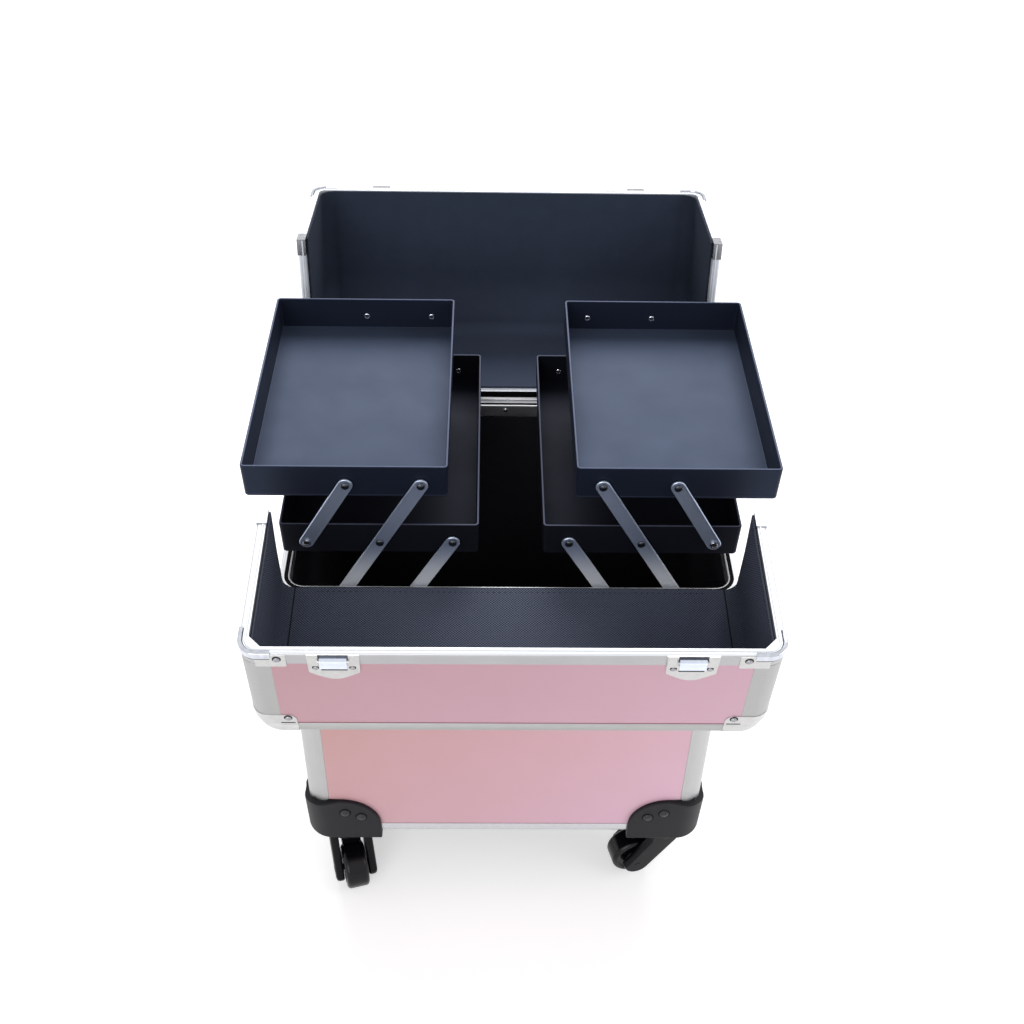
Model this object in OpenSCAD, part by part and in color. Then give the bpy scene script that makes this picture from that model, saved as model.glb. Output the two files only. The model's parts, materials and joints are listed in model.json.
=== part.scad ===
// Rolling makeup case, shown open: the lid leans back, the front flap lies forward as a trough,
// and two pairs of trays stand out on their folding arms. Floor at z = 0, front towards -y.

/* [Case] */
// Outside width of the case
case_w = 360; // [330:1:420]
// Outside depth of the case
case_d = 247.5; // [225:0.5:300]
// Height of the lower box, from its base to its rim
body_h = 319; // [290:1:420]
// Height of the upper section that splits into lid and flap
upper_h = 125; // [115:1:160]
// Depth of the flap's share of the upper section
flap_d = 96.5; // [84:0.5:110]
// Radius of the upright corners
corner_r = 20; // [16:1:26]
// Radius along the top edges of the upper section
edge_r = 12; // [8:1:15]
// Thickness of the wall panels
panel_t = 6; // [5:0.5:7]
// Thickness of the fabric lining
lining_t = 2; // [1:0.5:3]
// Distance of the flap's lining from its hinged edge
hem = 1; // [0.5:0.25:2]
// Width of bare rim beside the linings at the other edges
rim_show = 5; // [1:0.5:8]

/* [Pose] */
// How far the lid stands open from closed, in degrees
lid_open = 97.2; // [92:0.1:100]
// How far the flap stands open from closed, in degrees
flap_open = 96.7; // [92:0.1:100]
// How far the tray arms lean towards the middle, in degrees from upright
arm_lean = 30; // [26:1:32]
// Headings of the casters, front left, front right, rear left, rear right
caster_heading = [15, -75, 165, 200]; // [-180:1:360]

/* [Aluminium trim] */
// Height of the rim band round each opening
rim_band = 12; // [9:1:14]
// Height of the trim round the base
base_trim_h = 16; // [12:1:20]
// Flat width of the top edge profiles beside their rounding
trim_flat = 1; // [0.5:0.5:4]
// Gap where two profiles meet at a corner
profile_gap = 0.2; // [0.1:0.05:0.4]
// Gap between rims that close on each other
rim_gap = 0.8; // [0.6:0.1:1.2]
// Width of the sealing tongue on the rims
tongue_w = 1.6; // [1.2:0.1:2]
// Height of the sealing tongue
tongue_h = 1.6; // [1.2:0.1:2]
// Play round the tongue in its groove
tongue_clear = 0.4; // [0.3:0.1:0.6]
// Thickness of the pressed corner plates and caps
plate_t = 0.8; // [0.6:0.1:1.2]
// Play under the pressed corner plates and caps
plate_clear = 0.1; // [0.05:0.05:0.2]
// Length of the corner plates along the edge
plate_l = 14; // [12:1:18]
// Length of the clips at the ends of the rims
clip_l = 21; // [16:1:24]
// Reach of the corner plates across the face
plate_reach = 31; // [28:1:36]
// Radius of the small rivets
rivet_r = 2.2; // [1.6:0.1:2.6]
// Height of the small rivet heads
rivet_h = 1; // [0.6:0.1:1.4]
// Distance of a rivet from the end of its corner plate
rivet_in = 4.4; // [3.5:0.1:6]

/* [Hinges] */
// Radius of the hinge knuckles
knuckle_r = 2.6; // [2.2:0.1:3]
// Length of one knuckle
knuckle_l = 31; // [25:1:40]
// Radius of the hinge pins
hinge_pin_r = 1.2; // [1:0.1:1.4]
// Thickness of the hinge leaves
leaf_t = 1; // [0.8:0.1:1.2]
// Width of one hinge leaf
leaf_w = 10; // [8:0.5:11]
// Distance of the hinge axis outside the wall
hinge_out = 1.6; // [1.4:0.1:2]
// Distance of the hinges' ends from the upright corners
hinge_end = 5; // [3:0.5:12]

/* [Trays] */
// Width of a tray
tray_w = 150; // [140:1:152]
// Height of a tray
tray_h = 29; // [24:1:32]
// Wall thickness of a tray
tray_t = 2; // [1.5:0.5:3]
// Radius of a tray's upright corners
tray_corner_r = 3; // [2.5:0.5:8]
// Distance between the two pivots of one folding arm
arm_l = 65; // [64:1:70]
// Width of the arm bars
arm_w = 11; // [9:0.5:13]
// Thickness of the arm bars
arm_t = 2; // [1.5:0.25:2.5]
// Distance between neighbouring pivots on a tray
pivot_pitch = 55; // [50:1:56]
// Distance of the outer pivots in the box from its sides
pivot_in = 48.5; // [40:0.5:50]
// Depth of the pivots in the box below its rim
pivot_drop = 12.5; // [12:0.5:24]
// Height of the pivots above a tray's underside
pivot_up = 13; // [9:0.5:14]
// Radius of the pivot rivets
pivot_r = 2; // [1.6:0.1:2.4]
// Radius of the pivot rivet heads
pivot_head_r = 3.3; // [3:0.1:4]
// Height of the pivot rivet heads
pivot_head_h = 1.2; // [0.8:0.1:1.4]
// Thickness of the spacers behind the arms in the box
pivot_seat_t = 2; // [1.8:0.1:3]
// Radius of those spacers
pivot_seat_r = 4.8; // [4:0.1:6]

/* [Latches] */
// Distance of the latches from the sides of the case
latch_in = 62; // [58:1:80]
// Width of a latch base plate
latch_w = 35; // [32:1:40]
// Height of a latch base plate, to the tip of its rounded lower edge
latch_h = 28; // [24:1:30]
// Height of the square part of a latch base plate
latch_shoulder = 20; // [18:0.5:21]
// Distance of the latch rivets from the flap's edge
latch_rivet_drop = 15; // [14:0.5:18]
// Distance of the latch rivets from the sides of their plate
latch_rivet_in = 5.5; // [4:0.5:6]
// Thickness of the latch base plates
latch_t = 1.2; // [1:0.1:1.6]
// Width of a latch lever
lever_w = 18; // [14:1:20]
// Length of a latch lever, from its pin to its lip
lever_l = 11; // [9:0.5:16]
// Radius of a lever's barrel
barrel_r = 2.2; // [2:0.1:2.6]
// Radius of a lever's pin
lever_pin_r = 1; // [0.8:0.1:1.2]
// Distance of the lever pins from the flap's edge
lever_inset = 5; // [4:0.5:6]
// Thickness of the lever plate and of its ears
lever_t = 1.4; // [1:0.1:1.8]
// Height of the catches above the lid
catch_h = 5; // [4:0.5:6]
// Width of a catch
catch_w = 16; // [12:1:18]

/* [Casters] */
// Height of the base above the floor
caster_h = 86; // [80:1:100]
// Radius of a wheel
wheel_r = 22; // [18:0.5:25]
// Width of a wheel
wheel_w = 22; // [16:1:24]
// Distance of a wheel's axle behind its swivel axis
trail = 26; // [14:1:28]
// Distance of the swivel axes from the sides of the case
caster_inset_x = 29; // [26:1:36]
// Distance of the swivel axes from the front and rear of the case
caster_inset_y = 33; // [25:1:36]
// Thickness of the corner brackets on the case's faces
bracket_t = 4; // [3:0.5:6]
// Length of the corner brackets along each face
bracket_l = 70; // [58:1:74]
// Height of the corner brackets above the base
bracket_h = 53; // [46:1:60]
// Rounding of a bracket's upper end
bracket_round = 36; // [24:1:40]
// Cut across the inner corner of the plate under the base
bracket_cut = 19; // [10:1:24]
// Thickness of the bracket plate under the base
bracket_base_t = 2.5; // [2:0.5:8]
// Height of the swivel housing under that plate
housing_h = 15.5; // [10:0.5:17]
// Radius of the swivel housing and of the fork's head
housing_r = 20.5; // [19.5:0.5:22]
// Height of the fork's head
head_h = 12; // [9:0.5:14]
// Radius of the swivel stem
stem_r = 5; // [4:0.5:7]
// Thickness of a fork leg
leg_t = 8; // [6:0.5:8.5]
// Gap between a wheel and a fork leg
leg_gap = 1; // [0.6:0.1:1.5]
// Radius of a fork leg's lower end
leg_end_r = 13; // [8:0.5:14]
// Reach of a fork leg under its head, on the wheel's side
leg_back = 16; // [12:0.5:18]
// Reach of a fork leg under its head, on the other side
leg_front = 15; // [12:0.5:18]
// Angle at which a fork leg's front edge meets its round end
leg_turn = 37; // [30:1:45]
// Rounding of a wheel's tread at its sides
wheel_round = 4; // [2:0.5:5]
// Inner radius of the dished ring in a wheel's side
dish_r = 8; // [7:0.5:9]
// Width of the dished ring
dish_w = 8; // [5:0.5:8]
// Depth of the dished ring
dish_t = 1.5; // [0.5:0.25:3]
// Radius of a wheel's axle
axle_r = 3; // [2.5:0.5:4]
// Radius of the bracket's rivet caps
cap_rivet_r = 5; // [4:0.5:6]
// Height of the bracket's rivet caps
cap_rivet_h = 1.5; // [1:0.25:2]
// Distances of a wing's first rivet from the corner and above the base
wing_rivet_1 = [34, 37]; // [25:0.5:55]
// Distances of a wing's second rivet from the corner and above the base
wing_rivet_2 = [48.5, 31]; // [25:0.5:55]

/* [Pull handle] */
// Distance of the handle's tubes from the middle
tube_x = 62; // [50:1:70]
// Radius of the fixed tubes
tube_r = 8; // [7:0.5:10]
// Radius of the sliding rods
rod_r = 6.5; // [5:0.5:6.5]
// Distance of the tubes' axes behind the case
tube_out = 11; // [11:0.5:14]
// Depth of the grip's top below the rim
grip_drop = 42; // [38:1:60]
// Height of the grip
grip_h = 20; // [16:1:24]
// Depth of the grip from front to back
grip_d = 20; // [18:1:21]
// Length of the grip beyond its tubes
grip_end = 3; // [2:0.5:8]
// Rounding along the grip
grip_round = 5; // [3:0.5:8]
// Room for fingers under the grip
finger_gap = 26; // [22:1:40]
// Height of the tube brackets
tube_bracket_h = 18; // [14:1:24]
// Height of the lower tube bracket above the base
tube_bracket_z = 30; // [24:1:60]
// Wall of a tube bracket behind its tubes
tube_bracket_wall = 2; // [1.5:0.5:4]
// Rounding of the tube brackets' corners
tube_bracket_round = 3; // [2:0.5:5]
// Width of the release button
button_w = 26; // [18:1:34]
// Depth of the release button from front to back
button_d = 10; // [8:0.5:12]
// Height of the release button
button_h = 10; // [8:0.5:12]
// Rounding of the release button's corners
button_round = 2.5; // [1:0.5:3.5]
// Travel of the release button
button_travel = 2.5; // [1.5:0.5:3]

/* [Clearances] */
// Radial play of a pin in its bore
run_clear = 0.05; // [0.03:0.01:0.08]
// Gap between parts that move past each other
slide_clear = 0.4; // [0.3:0.05:0.6]

/* [Hidden] */
$fn = 48;
eps = 1;
least_r = 1;
rim_t = panel_t + lining_t;
trim_w = edge_r + trim_flat;
rim_z = caster_h + body_h;
half_w = case_w / 2;
panel_x = half_w - corner_r;
tongue_in = (panel_t - tongue_w) / 2;
upper_z0 = rim_gap + rim_band;
flap_edge = flap_d - rim_gap / 2;
lid_edge = flap_d + rim_gap / 2;
hinge_l = 2 * (panel_x - hinge_end);
knuckles = floor(hinge_l / knuckle_l);
knuckle_room = knuckle_r + slide_clear;
arm_y = rim_t + pivot_seat_t + slide_clear;
tray_y = arm_y + arm_t + slide_clear;
tray_d = case_d - 2 * tray_y;
pivot_x = half_w - pivot_in;
arm_dx = arm_l * sin(arm_lean);
arm_dz = arm_l * cos(arm_lean);
low_x = pivot_x - arm_dx;
low_z = rim_z - pivot_drop + arm_dz;
up_x = low_x + pivot_pitch - arm_dx;
up_z = low_z + arm_dz;
plate_out = plate_t + plate_clear;
rivet_x = plate_reach - half_w - rivet_in;
latch_x = half_w - latch_in;
latch_rivet_x = latch_w / 2 - latch_rivet_in;
latch_bow = latch_h - latch_shoulder;
latch_bow_r = (pow(latch_w / 2, 2) + pow(latch_bow, 2)) / (2 * latch_bow);
lever_y = flap_edge - lever_inset;
lever_z = upper_h + latch_t + slide_clear + barrel_r;
ear_top = lever_z + lever_pin_r + lever_t;
fork_top = caster_h - bracket_base_t - housing_h - slide_clear;
fork_gap = wheel_w + 2 * leg_gap;
stem_l = bracket_base_t + housing_h;
grip_z = rim_z - grip_drop - grip_h;
tube_top = grip_z - finger_gap;
grip_w = 2 * (tube_x + tube_r + grip_end);
handle_y = case_d + tube_out;
tube_bracket_d = tube_out + tube_r + tube_bracket_wall;
button_proud = button_travel + slide_clear;
// The open flap's and lid's reach, which set the frame's middle
ear_y = lever_y + barrel_r + hinge_out;
catch_y = case_d - lid_edge + hinge_out;
front_reach = (ear_top - rim_gap / 2) * sin(flap_open) - ear_y * cos(flap_open) + hinge_out;
rear_reach = (upper_h + catch_h - rim_gap / 2) * sin(lid_open) - catch_y * cos(lid_open) + hinge_out;
front_y = (front_reach - case_d - rear_reach) / 2;

pink = [0.82, 0.64, 0.68];
silver = [0.80, 0.81, 0.82];
chrome = [0.88, 0.88, 0.90];
black = [0.09, 0.09, 0.10];
cloth = [0.13, 0.14, 0.17];
grey = [0.52, 0.54, 0.57];

// Frames of the three sections. Each works in the closed case: y back from the front face,
// z up from the base for the box and up from the rim for flap and lid.
module in_box() translate([0, front_y, caster_h]) children();
module in_flap()
    translate([0, front_y - hinge_out, rim_z + rim_gap / 2])
        rotate([flap_open, 0, 0])
            translate([0, hinge_out, -rim_gap / 2]) children();
module in_lid()
    translate([0, front_y + case_d + hinge_out, rim_z + rim_gap / 2])
        rotate([-lid_open, 0, 0])
            translate([0, -case_d - hinge_out, -rim_gap / 2]) children();
module both_sides() {
    children();
    mirror([1, 0, 0]) children();
}
module front_and_rear() {
    children();
    translate([0, case_d, 0]) mirror([0, 1, 0]) children();
}
module extrude_y(y0, y1) translate([0, y1, 0]) rotate([90, 0, 0]) linear_extrude(y1 - y0) children();
module extrude_x(x0, x1) translate([x0, 0, 0]) rotate([90, 0, 90]) linear_extrude(x1 - x0) children();
module rod_x(r, l) rotate([0, 90, 0]) cylinder(r = r, h = l, center = true);
module block(low, high) translate(low) cube(high - low);

// Outlines
module rounded_rect(w, d, r) {
    square([w - 2 * r, d], center = true);
    square([w, d - 2 * r], center = true);
    for (x = [-1, 1], y = [-1, 1]) translate([x * (w / 2 - r), y * (d / 2 - r)]) circle(r);
}
module plan(inset)
    translate([0, case_d / 2]) rounded_rect(case_w - 2 * inset, case_d - 2 * inset, corner_r - inset);
module plan_ring(inset, width) difference() {
    plan(inset);
    plan(inset + width);
}
module plan_between(y0, y1) translate([-half_w, y0]) square([case_w, y1 - y0]);
module arch(inset) {
    r = max(edge_r - inset, least_r);
    w = case_w - 2 * inset;
    h = upper_h - inset - rim_gap;
    translate([-w / 2, rim_gap]) square([w, h - r]);
    translate([r - w / 2, rim_gap]) square([w - 2 * r, h]);
    for (x = [-1, 1]) translate([x * (w / 2 - r), rim_gap + h - r]) circle(r);
}
module arch_ring(inset, width) difference() {
    arch(inset);
    arch(inset + width);
}
// A block with its outer corner, at the origin, rounded; it runs inwards along +x and down along -y
module corner_block(across, drop, r) difference() {
    translate([0, -drop]) square([across, drop]);
    difference() {
        translate([-eps, -r]) square([r + eps, r + eps]);
        translate([r, -r]) circle(r);
    }
}
module edge_section(across, drop) difference() {
    corner_block(across, drop, edge_r);
    translate([panel_t, -drop - eps]) square([across, drop + eps - panel_t]);
}
module plate_section(across, drop) difference() {
    translate([-plate_out, plate_out])
        corner_block(across + plate_out, drop + plate_out, edge_r + plate_out);
    translate([-plate_clear, plate_clear])
        corner_block(across + eps, drop + eps, edge_r + plate_clear);
}

// Lower box
module body_front_panel() color(pink) in_box()
    block([-panel_x, 0, base_trim_h], [panel_x, panel_t, body_h - rim_band]);
module body_rear_panel() color(pink) in_box()
    block([-panel_x, case_d - panel_t, base_trim_h], [panel_x, case_d, body_h - rim_band]);
module body_side_panels() color(pink) in_box() both_sides()
    block([-half_w, corner_r, base_trim_h], [panel_t - half_w, case_d - corner_r, body_h - rim_band]);
module body_bottom_panel() color(black) in_box() linear_extrude(panel_t) plan(panel_t);
module post(z0, z1)
    translate([-panel_x, corner_r, z0]) rotate([0, 0, 180])
        rotate_extrude(angle = 90) translate([corner_r - panel_t, 0]) square([panel_t, z1 - z0]);
module body_corner_posts() color(silver) in_box() front_and_rear() both_sides()
    post(base_trim_h, body_h - rim_band);
module body_base_trim() color(silver) in_box() linear_extrude(base_trim_h) plan_ring(0, panel_t);
module body_rim() color(silver) in_box() difference() {
    translate([0, 0, body_h - rim_band]) linear_extrude(rim_band) plan_ring(0, rim_t);
    translate([0, 0, body_h + rim_gap - tongue_h - tongue_clear]) linear_extrude(tongue_h + tongue_clear)
        plan_ring(tongue_in - tongue_clear, tongue_w + 2 * tongue_clear);
    front_and_rear() at_hinge(body_h + rim_gap / 2) hinge_room();
}
module body_lining() color(cloth) in_box() difference() {
    translate([0, 0, panel_t]) linear_extrude(body_h - rim_band - panel_t) plan(panel_t);
    translate([0, 0, rim_t]) linear_extrude(body_h) plan(rim_t);
}

// Piano hinges, about an axis along x at the origin with the wall's face at y = hinge_out
module knuckle_row(parity, r, play)
    for (i = [parity : 2 : knuckles - 1])
        translate([(i + 0.5 - knuckles / 2) * knuckle_l, 0, 0]) rod_x(r, knuckle_l + play);
module hinge_leaf(parity, up) difference() {
    union() {
        block([-hinge_l / 2, hinge_out - leaf_t, up ? slide_clear : -leaf_w],
              [hinge_l / 2, hinge_out, up ? leaf_w : -slide_clear]);
        knuckle_row(parity, knuckle_r, -slide_clear);
    }
    rod_x(hinge_pin_r + run_clear, case_w);
    knuckle_row(1 - parity, knuckle_room, slide_clear);
}
module hinge_half_fixed() {
    hinge_leaf(0, false);
    rod_x(hinge_pin_r, knuckles * knuckle_l);
}
module hinge_room() rod_x(knuckle_room, hinge_l + 2 * slide_clear);
module at_hinge(z) translate([0, -hinge_out, z]) children();
module front_hinge() color(chrome) in_box() at_hinge(body_h + rim_gap / 2) hinge_half_fixed();
module rear_hinge() color(chrome) in_box() translate([0, case_d, 0]) mirror([0, 1, 0])
    at_hinge(body_h + rim_gap / 2) hinge_half_fixed();
module flap_hinge_leaf() color(chrome) in_flap() at_hinge(rim_gap / 2) hinge_leaf(1, true);
module lid_hinge_leaf() color(chrome) in_lid() translate([0, case_d, 0]) mirror([0, 1, 0])
    at_hinge(rim_gap / 2) hinge_leaf(1, true);

// Flap
module flap_front_panel() color(pink) in_flap()
    block([-panel_x, 0, upper_z0], [panel_x, panel_t, upper_h - trim_w]);
module flap_top_panel() color(pink) in_flap()
    block([-panel_x, trim_w, upper_h - panel_t], [panel_x, flap_edge - rim_band, upper_h]);
module flap_side_panels() color(pink) in_flap() both_sides()
    block([-half_w, corner_r, upper_z0], [panel_t - half_w, flap_edge - rim_band, upper_h - trim_w]);
module ball_corner() translate([-panel_x, corner_r, upper_h]) rotate([0, 0, 180]) {
    rotate_extrude(angle = 90) translate([corner_r, 0]) mirror([1, 0]) edge_section(trim_w, trim_w);
    translate([0, 0, -panel_t]) linear_extrude(panel_t) intersection() {
        circle(corner_r - trim_w + run_clear);
        square(corner_r);
    }
}
module side_rail(y0, y1) translate([-half_w, 0, upper_h])
    extrude_y(y0, y1) edge_section(corner_r, trim_w);
module cross_rail() translate([0, 0, upper_h])
    extrude_x(profile_gap - panel_x, panel_x - profile_gap) edge_section(trim_w, trim_w);
module end_profiles(depth) {
    both_sides() {
        post(upper_z0, upper_h - trim_w - profile_gap);
        ball_corner();
        side_rail(corner_r + profile_gap, depth - rim_band);
    }
    cross_rail();
}
module flap_edge_profiles() color(silver) in_flap() end_profiles(flap_edge);
module rim_profile(y0, y1, split0, split1) {
    translate([0, 0, rim_gap]) linear_extrude(rim_band) intersection() {
        plan_ring(0, panel_t);
        plan_between(y0, y1);
    }
    extrude_y(split0, split1) arch_ring(0, panel_t);
    translate([0, 0, rim_gap - tongue_h]) linear_extrude(tongue_h + eps) intersection() {
        plan_ring(tongue_in, tongue_w);
        plan_between(y0, y1);
    }
}
module flap_rim() color(silver) in_flap() {
    difference() {
        rim_profile(-eps, flap_edge, flap_edge - rim_band, flap_edge);
        at_hinge(rim_gap / 2) hinge_room();
    }
    extrude_y(flap_edge - eps, flap_edge + tongue_h) intersection() {
        arch_ring(tongue_in, tongue_w);
        translate([-half_w, upper_z0]) square([case_w, upper_h]);
    }
}
module edge_plate(y0, y1) translate([-half_w, 0, upper_h])
    extrude_y(y0, y1) plate_section(plate_reach, trim_w);
module ball_cap() {
    translate([-panel_x, corner_r, upper_h]) rotate([0, 0, 180])
        rotate_extrude(angle = 90) translate([corner_r, 0]) mirror([1, 0]) intersection() {
            plate_section(corner_r, trim_w);
            translate([-plate_out, -trim_w]) square([corner_r + plate_out, trim_w + plate_out]);
        }
    translate([0, 0, upper_h]) extrude_x(-panel_x, plate_reach - half_w) plate_section(corner_r, trim_w);
}
module end_clip(y0, y1)
    block([-half_w - plate_t, y0, rim_gap], [-half_w, y1, rim_gap + rim_band]);
module flap_corner_plates() color(chrome) in_flap() both_sides() {
    edge_plate(flap_edge - plate_l, flap_edge);
    ball_cap();
    end_clip(flap_edge - clip_l, flap_edge);
}
module face_rivet(x, y, up) translate([x, y, upper_h + up]) cylinder(r = rivet_r, h = rivet_h);
module flap_rivets() color(chrome) in_flap() both_sides() {
    face_rivet(rivet_x, flap_edge - plate_l / 2, plate_out);
    face_rivet(rivet_x, corner_r - rivet_r, plate_out);
    for (s = [-1, 1]) face_rivet(s * latch_rivet_x - latch_x, flap_edge - latch_rivet_drop, latch_t);
}
module lining(y0, y1, z0) intersection() {
    difference() {
        translate([0, 0, z0]) linear_extrude(upper_h - panel_t - z0)
            intersection() {
                plan(panel_t);
                plan_between(y0, y1);
            }
        linear_extrude(upper_h - rim_t) plan(rim_t);
    }
    extrude_y(0, case_d) arch(panel_t);
}
module flap_lining() color(cloth) in_flap() lining(panel_t - eps, flap_edge - rim_show, rim_gap + hem);

// Latches
module latch_plate() linear_extrude(latch_t) {
    translate([-latch_w / 2, -latch_shoulder]) square([latch_w, latch_shoulder]);
    intersection() {
        translate([0, latch_bow_r - latch_h]) circle(latch_bow_r);
        translate([-latch_w / 2, -latch_h]) square([latch_w, latch_bow + run_clear]);
    }
}
module latch_base() {
    ear_x = lever_w / 2 + slide_clear;
    difference() {
        union() {
            translate([0, flap_edge, upper_h]) latch_plate();
            for (s = [0, 1]) mirror([s, 0, 0])
                block([ear_x, lever_y - barrel_r, upper_h], [ear_x + lever_t, lever_y + barrel_r, ear_top]);
        }
        translate([0, lever_y, lever_z]) rod_x(lever_pin_r + run_clear, latch_w);
    }
    translate([0, lever_y, lever_z]) rod_x(lever_pin_r, lever_w + 2 * (lever_t + slide_clear));
}
module latch_bases() color(chrome) in_flap()
    for (s = [-1, 1]) translate([s * latch_x, 0, 0]) latch_base();
module latch_lever(side) color(chrome) in_flap()
    translate([side * latch_x, lever_y, lever_z]) difference() {
        union() {
            rod_x(barrel_r, lever_w);
            block([-lever_w / 2, -lever_l, -lever_t / 2], [lever_w / 2, 0, lever_t / 2]);
            translate([0, -lever_l, lever_t / 2]) rod_x(lever_t, lever_w);
        }
        rod_x(lever_pin_r + run_clear, latch_w);
    }
module latch_lever_left() latch_lever(-1);
module latch_lever_right() latch_lever(1);
module latch_catches() color(chrome) in_lid()
    for (s = [-1, 1]) translate([s * latch_x, lid_edge, upper_h]) {
        block([-catch_w / 2, 0, 0], [catch_w / 2, catch_w, latch_t]);
        block([-catch_w / 2, 0, 0], [catch_w / 2, latch_t, catch_h]);
    }

// Lid: the same construction as the flap, turned end for end
module lid_top_panel() color(pink) in_lid()
    block([-panel_x, lid_edge + rim_band, upper_h - panel_t], [panel_x, case_d - trim_w, upper_h]);
module lid_rear_panel() color(pink) in_lid()
    block([-panel_x, case_d - panel_t, upper_z0], [panel_x, case_d, upper_h - trim_w]);
module lid_side_panels() color(pink) in_lid() both_sides()
    block([-half_w, lid_edge + rim_band, upper_z0],
          [panel_t - half_w, case_d - corner_r, upper_h - trim_w]);
module lid_edge_profiles() color(silver) in_lid()
    translate([0, case_d, 0]) mirror([0, 1, 0]) end_profiles(case_d - lid_edge);
module lid_rim() color(silver) in_lid() difference() {
    rim_profile(lid_edge, case_d + eps, lid_edge, lid_edge + rim_band);
    translate([0, case_d + hinge_out, rim_gap / 2]) hinge_room();
    extrude_y(lid_edge - eps, lid_edge + tongue_h + tongue_clear)
        arch_ring(tongue_in - tongue_clear, tongue_w + 2 * tongue_clear);
}
module lid_corner_plates() color(chrome) in_lid() both_sides() {
    edge_plate(lid_edge, lid_edge + plate_l);
    translate([0, case_d, 0]) mirror([0, 1, 0]) ball_cap();
    end_clip(lid_edge, lid_edge + clip_l);
}
module lid_rivets() color(chrome) in_lid() both_sides() {
    face_rivet(rivet_x, lid_edge + plate_l / 2, plate_out);
    face_rivet(rivet_x, case_d - corner_r + rivet_r, plate_out);
}
module lid_lining() color(cloth) in_lid() lining(lid_edge + rim_show, case_d, rim_gap + rim_show);

// Folding trays. Every pivot axis runs along y, and each arm has a twin at the rear.
module bar(length) translate([0, arm_y + arm_t, 0]) rotate([90, 0, 0])
    linear_extrude(arm_t) difference() {
        union() {
            translate([-arm_w / 2, 0]) square([arm_w, length]);
            for (y = [0, length]) translate([0, y]) circle(arm_w / 2);
        }
        for (y = [0 : arm_l : length]) translate([0, y]) circle(pivot_r + run_clear);
    }
module arm_pair(side, x, z, length) color(grey) translate([0, front_y, 0]) front_and_rear()
    translate([side * x, 0, z]) rotate([0, -side * arm_lean, 0]) bar(length);
module pivot_pin(y0, y1, r) translate([0, y1, 0]) rotate([90, 0, 0]) cylinder(r = r, h = y1 - y0);
module tray_rivet() {
    tail_y = tray_y + tray_t + run_clear;
    pivot_pin(arm_y - slide_clear, tail_y + pivot_head_h, pivot_r);
    pivot_pin(arm_y - slide_clear - pivot_head_h, arm_y - slide_clear, pivot_head_r);
    pivot_pin(tail_y, tail_y + pivot_head_h, pivot_head_r);
}
module tray(side, x, z, pivots) color(black) translate([side * x, front_y, z - pivot_up]) {
    difference() {
        translate([0, case_d / 2, 0]) difference() {
            linear_extrude(tray_h) rounded_rect(tray_w, tray_d, tray_corner_r);
            translate([0, 0, tray_t]) linear_extrude(tray_h)
                rounded_rect(tray_w - 2 * tray_t, tray_d - 2 * tray_t, tray_corner_r - tray_t);
        }
        for (p = pivots) translate([side * p * pivot_pitch, 0, pivot_up])
            front_and_rear() pivot_pin(tray_y - eps, tray_y + tray_t + eps, pivot_r + run_clear);
    }
    for (p = pivots) translate([side * p * pivot_pitch, 0, pivot_up]) front_and_rear() tray_rivet();
}
module long_arms(side) arm_pair(side, pivot_x, rim_z - pivot_drop, 2 * arm_l);
module lower_links(side) arm_pair(side, pivot_x - pivot_pitch, rim_z - pivot_drop, arm_l);
module upper_links(side) arm_pair(side, low_x + pivot_pitch, low_z, arm_l);
module lower_tray(side) tray(side, low_x, low_z, [-1, 0, 1]);
module upper_tray(side) tray(side, up_x, up_z, [-1, 0]);
module long_arms_left() long_arms(-1);
module long_arms_right() long_arms(1);
module lower_links_left() lower_links(-1);
module lower_links_right() lower_links(1);
module upper_links_left() upper_links(-1);
module upper_links_right() upper_links(1);
module lower_tray_left() lower_tray(-1);
module lower_tray_right() lower_tray(1);
module upper_tray_left() upper_tray(-1);
module upper_tray_right() upper_tray(1);
module arm_pivots() color(grey) in_box() front_and_rear() both_sides()
    for (x = [pivot_x, pivot_x - pivot_pitch]) translate([x, 0, body_h - pivot_drop]) {
        pivot_pin(rim_t, rim_t + pivot_seat_t, pivot_seat_r);
        pivot_pin(rim_t, tray_y, pivot_r);
        pivot_pin(tray_y, tray_y + pivot_head_h, pivot_head_r);
    }

// Casters
module bracket_wing() {
    high = bracket_h + bracket_base_t;
    top_flat = bracket_l - bracket_round;
    translate([0, -bracket_base_t]) {
        square([top_flat, high]);
        square([bracket_l, high - bracket_round]);
        translate([top_flat, high - bracket_round]) intersection() {
            circle(bracket_round);
            square(bracket_round);
        }
    }
}
module caster_bracket() difference() {
    union() {
        intersection() {
            translate([0, 0, -bracket_base_t]) linear_extrude(bracket_h + bracket_base_t)
                plan_ring(-bracket_t, bracket_t);
            union() {
                translate([-half_w - bracket_t, 0, 0]) extrude_y(-2 * bracket_t, corner_r) bracket_wing();
                translate([0, -bracket_t, 0]) extrude_x(-half_w - 2 * bracket_t, -panel_x) bracket_wing();
            }
        }
        translate([0, 0, -bracket_base_t]) linear_extrude(bracket_base_t) intersection() {
            plan(-bracket_t);
            translate([-half_w - bracket_t, -bracket_t]) difference() {
                square(bracket_l);
                translate([bracket_l, bracket_l]) rotate(45) square(sqrt(2) * bracket_cut, center = true);
            }
        }
        translate([caster_inset_x - half_w, caster_inset_y, -stem_l]) cylinder(r = housing_r, h = stem_l);
    }
    translate([caster_inset_x - half_w, caster_inset_y, -stem_l - eps])
        cylinder(r = stem_r + run_clear, h = stem_l + eps);
}
module caster_brackets() color(black) in_box() front_and_rear() both_sides() caster_bracket();
module wing_rivet(p) translate([p[0], -bracket_t, p[1]]) rotate([90, 0, 0])
    cylinder(r = cap_rivet_r, h = cap_rivet_h);
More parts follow.
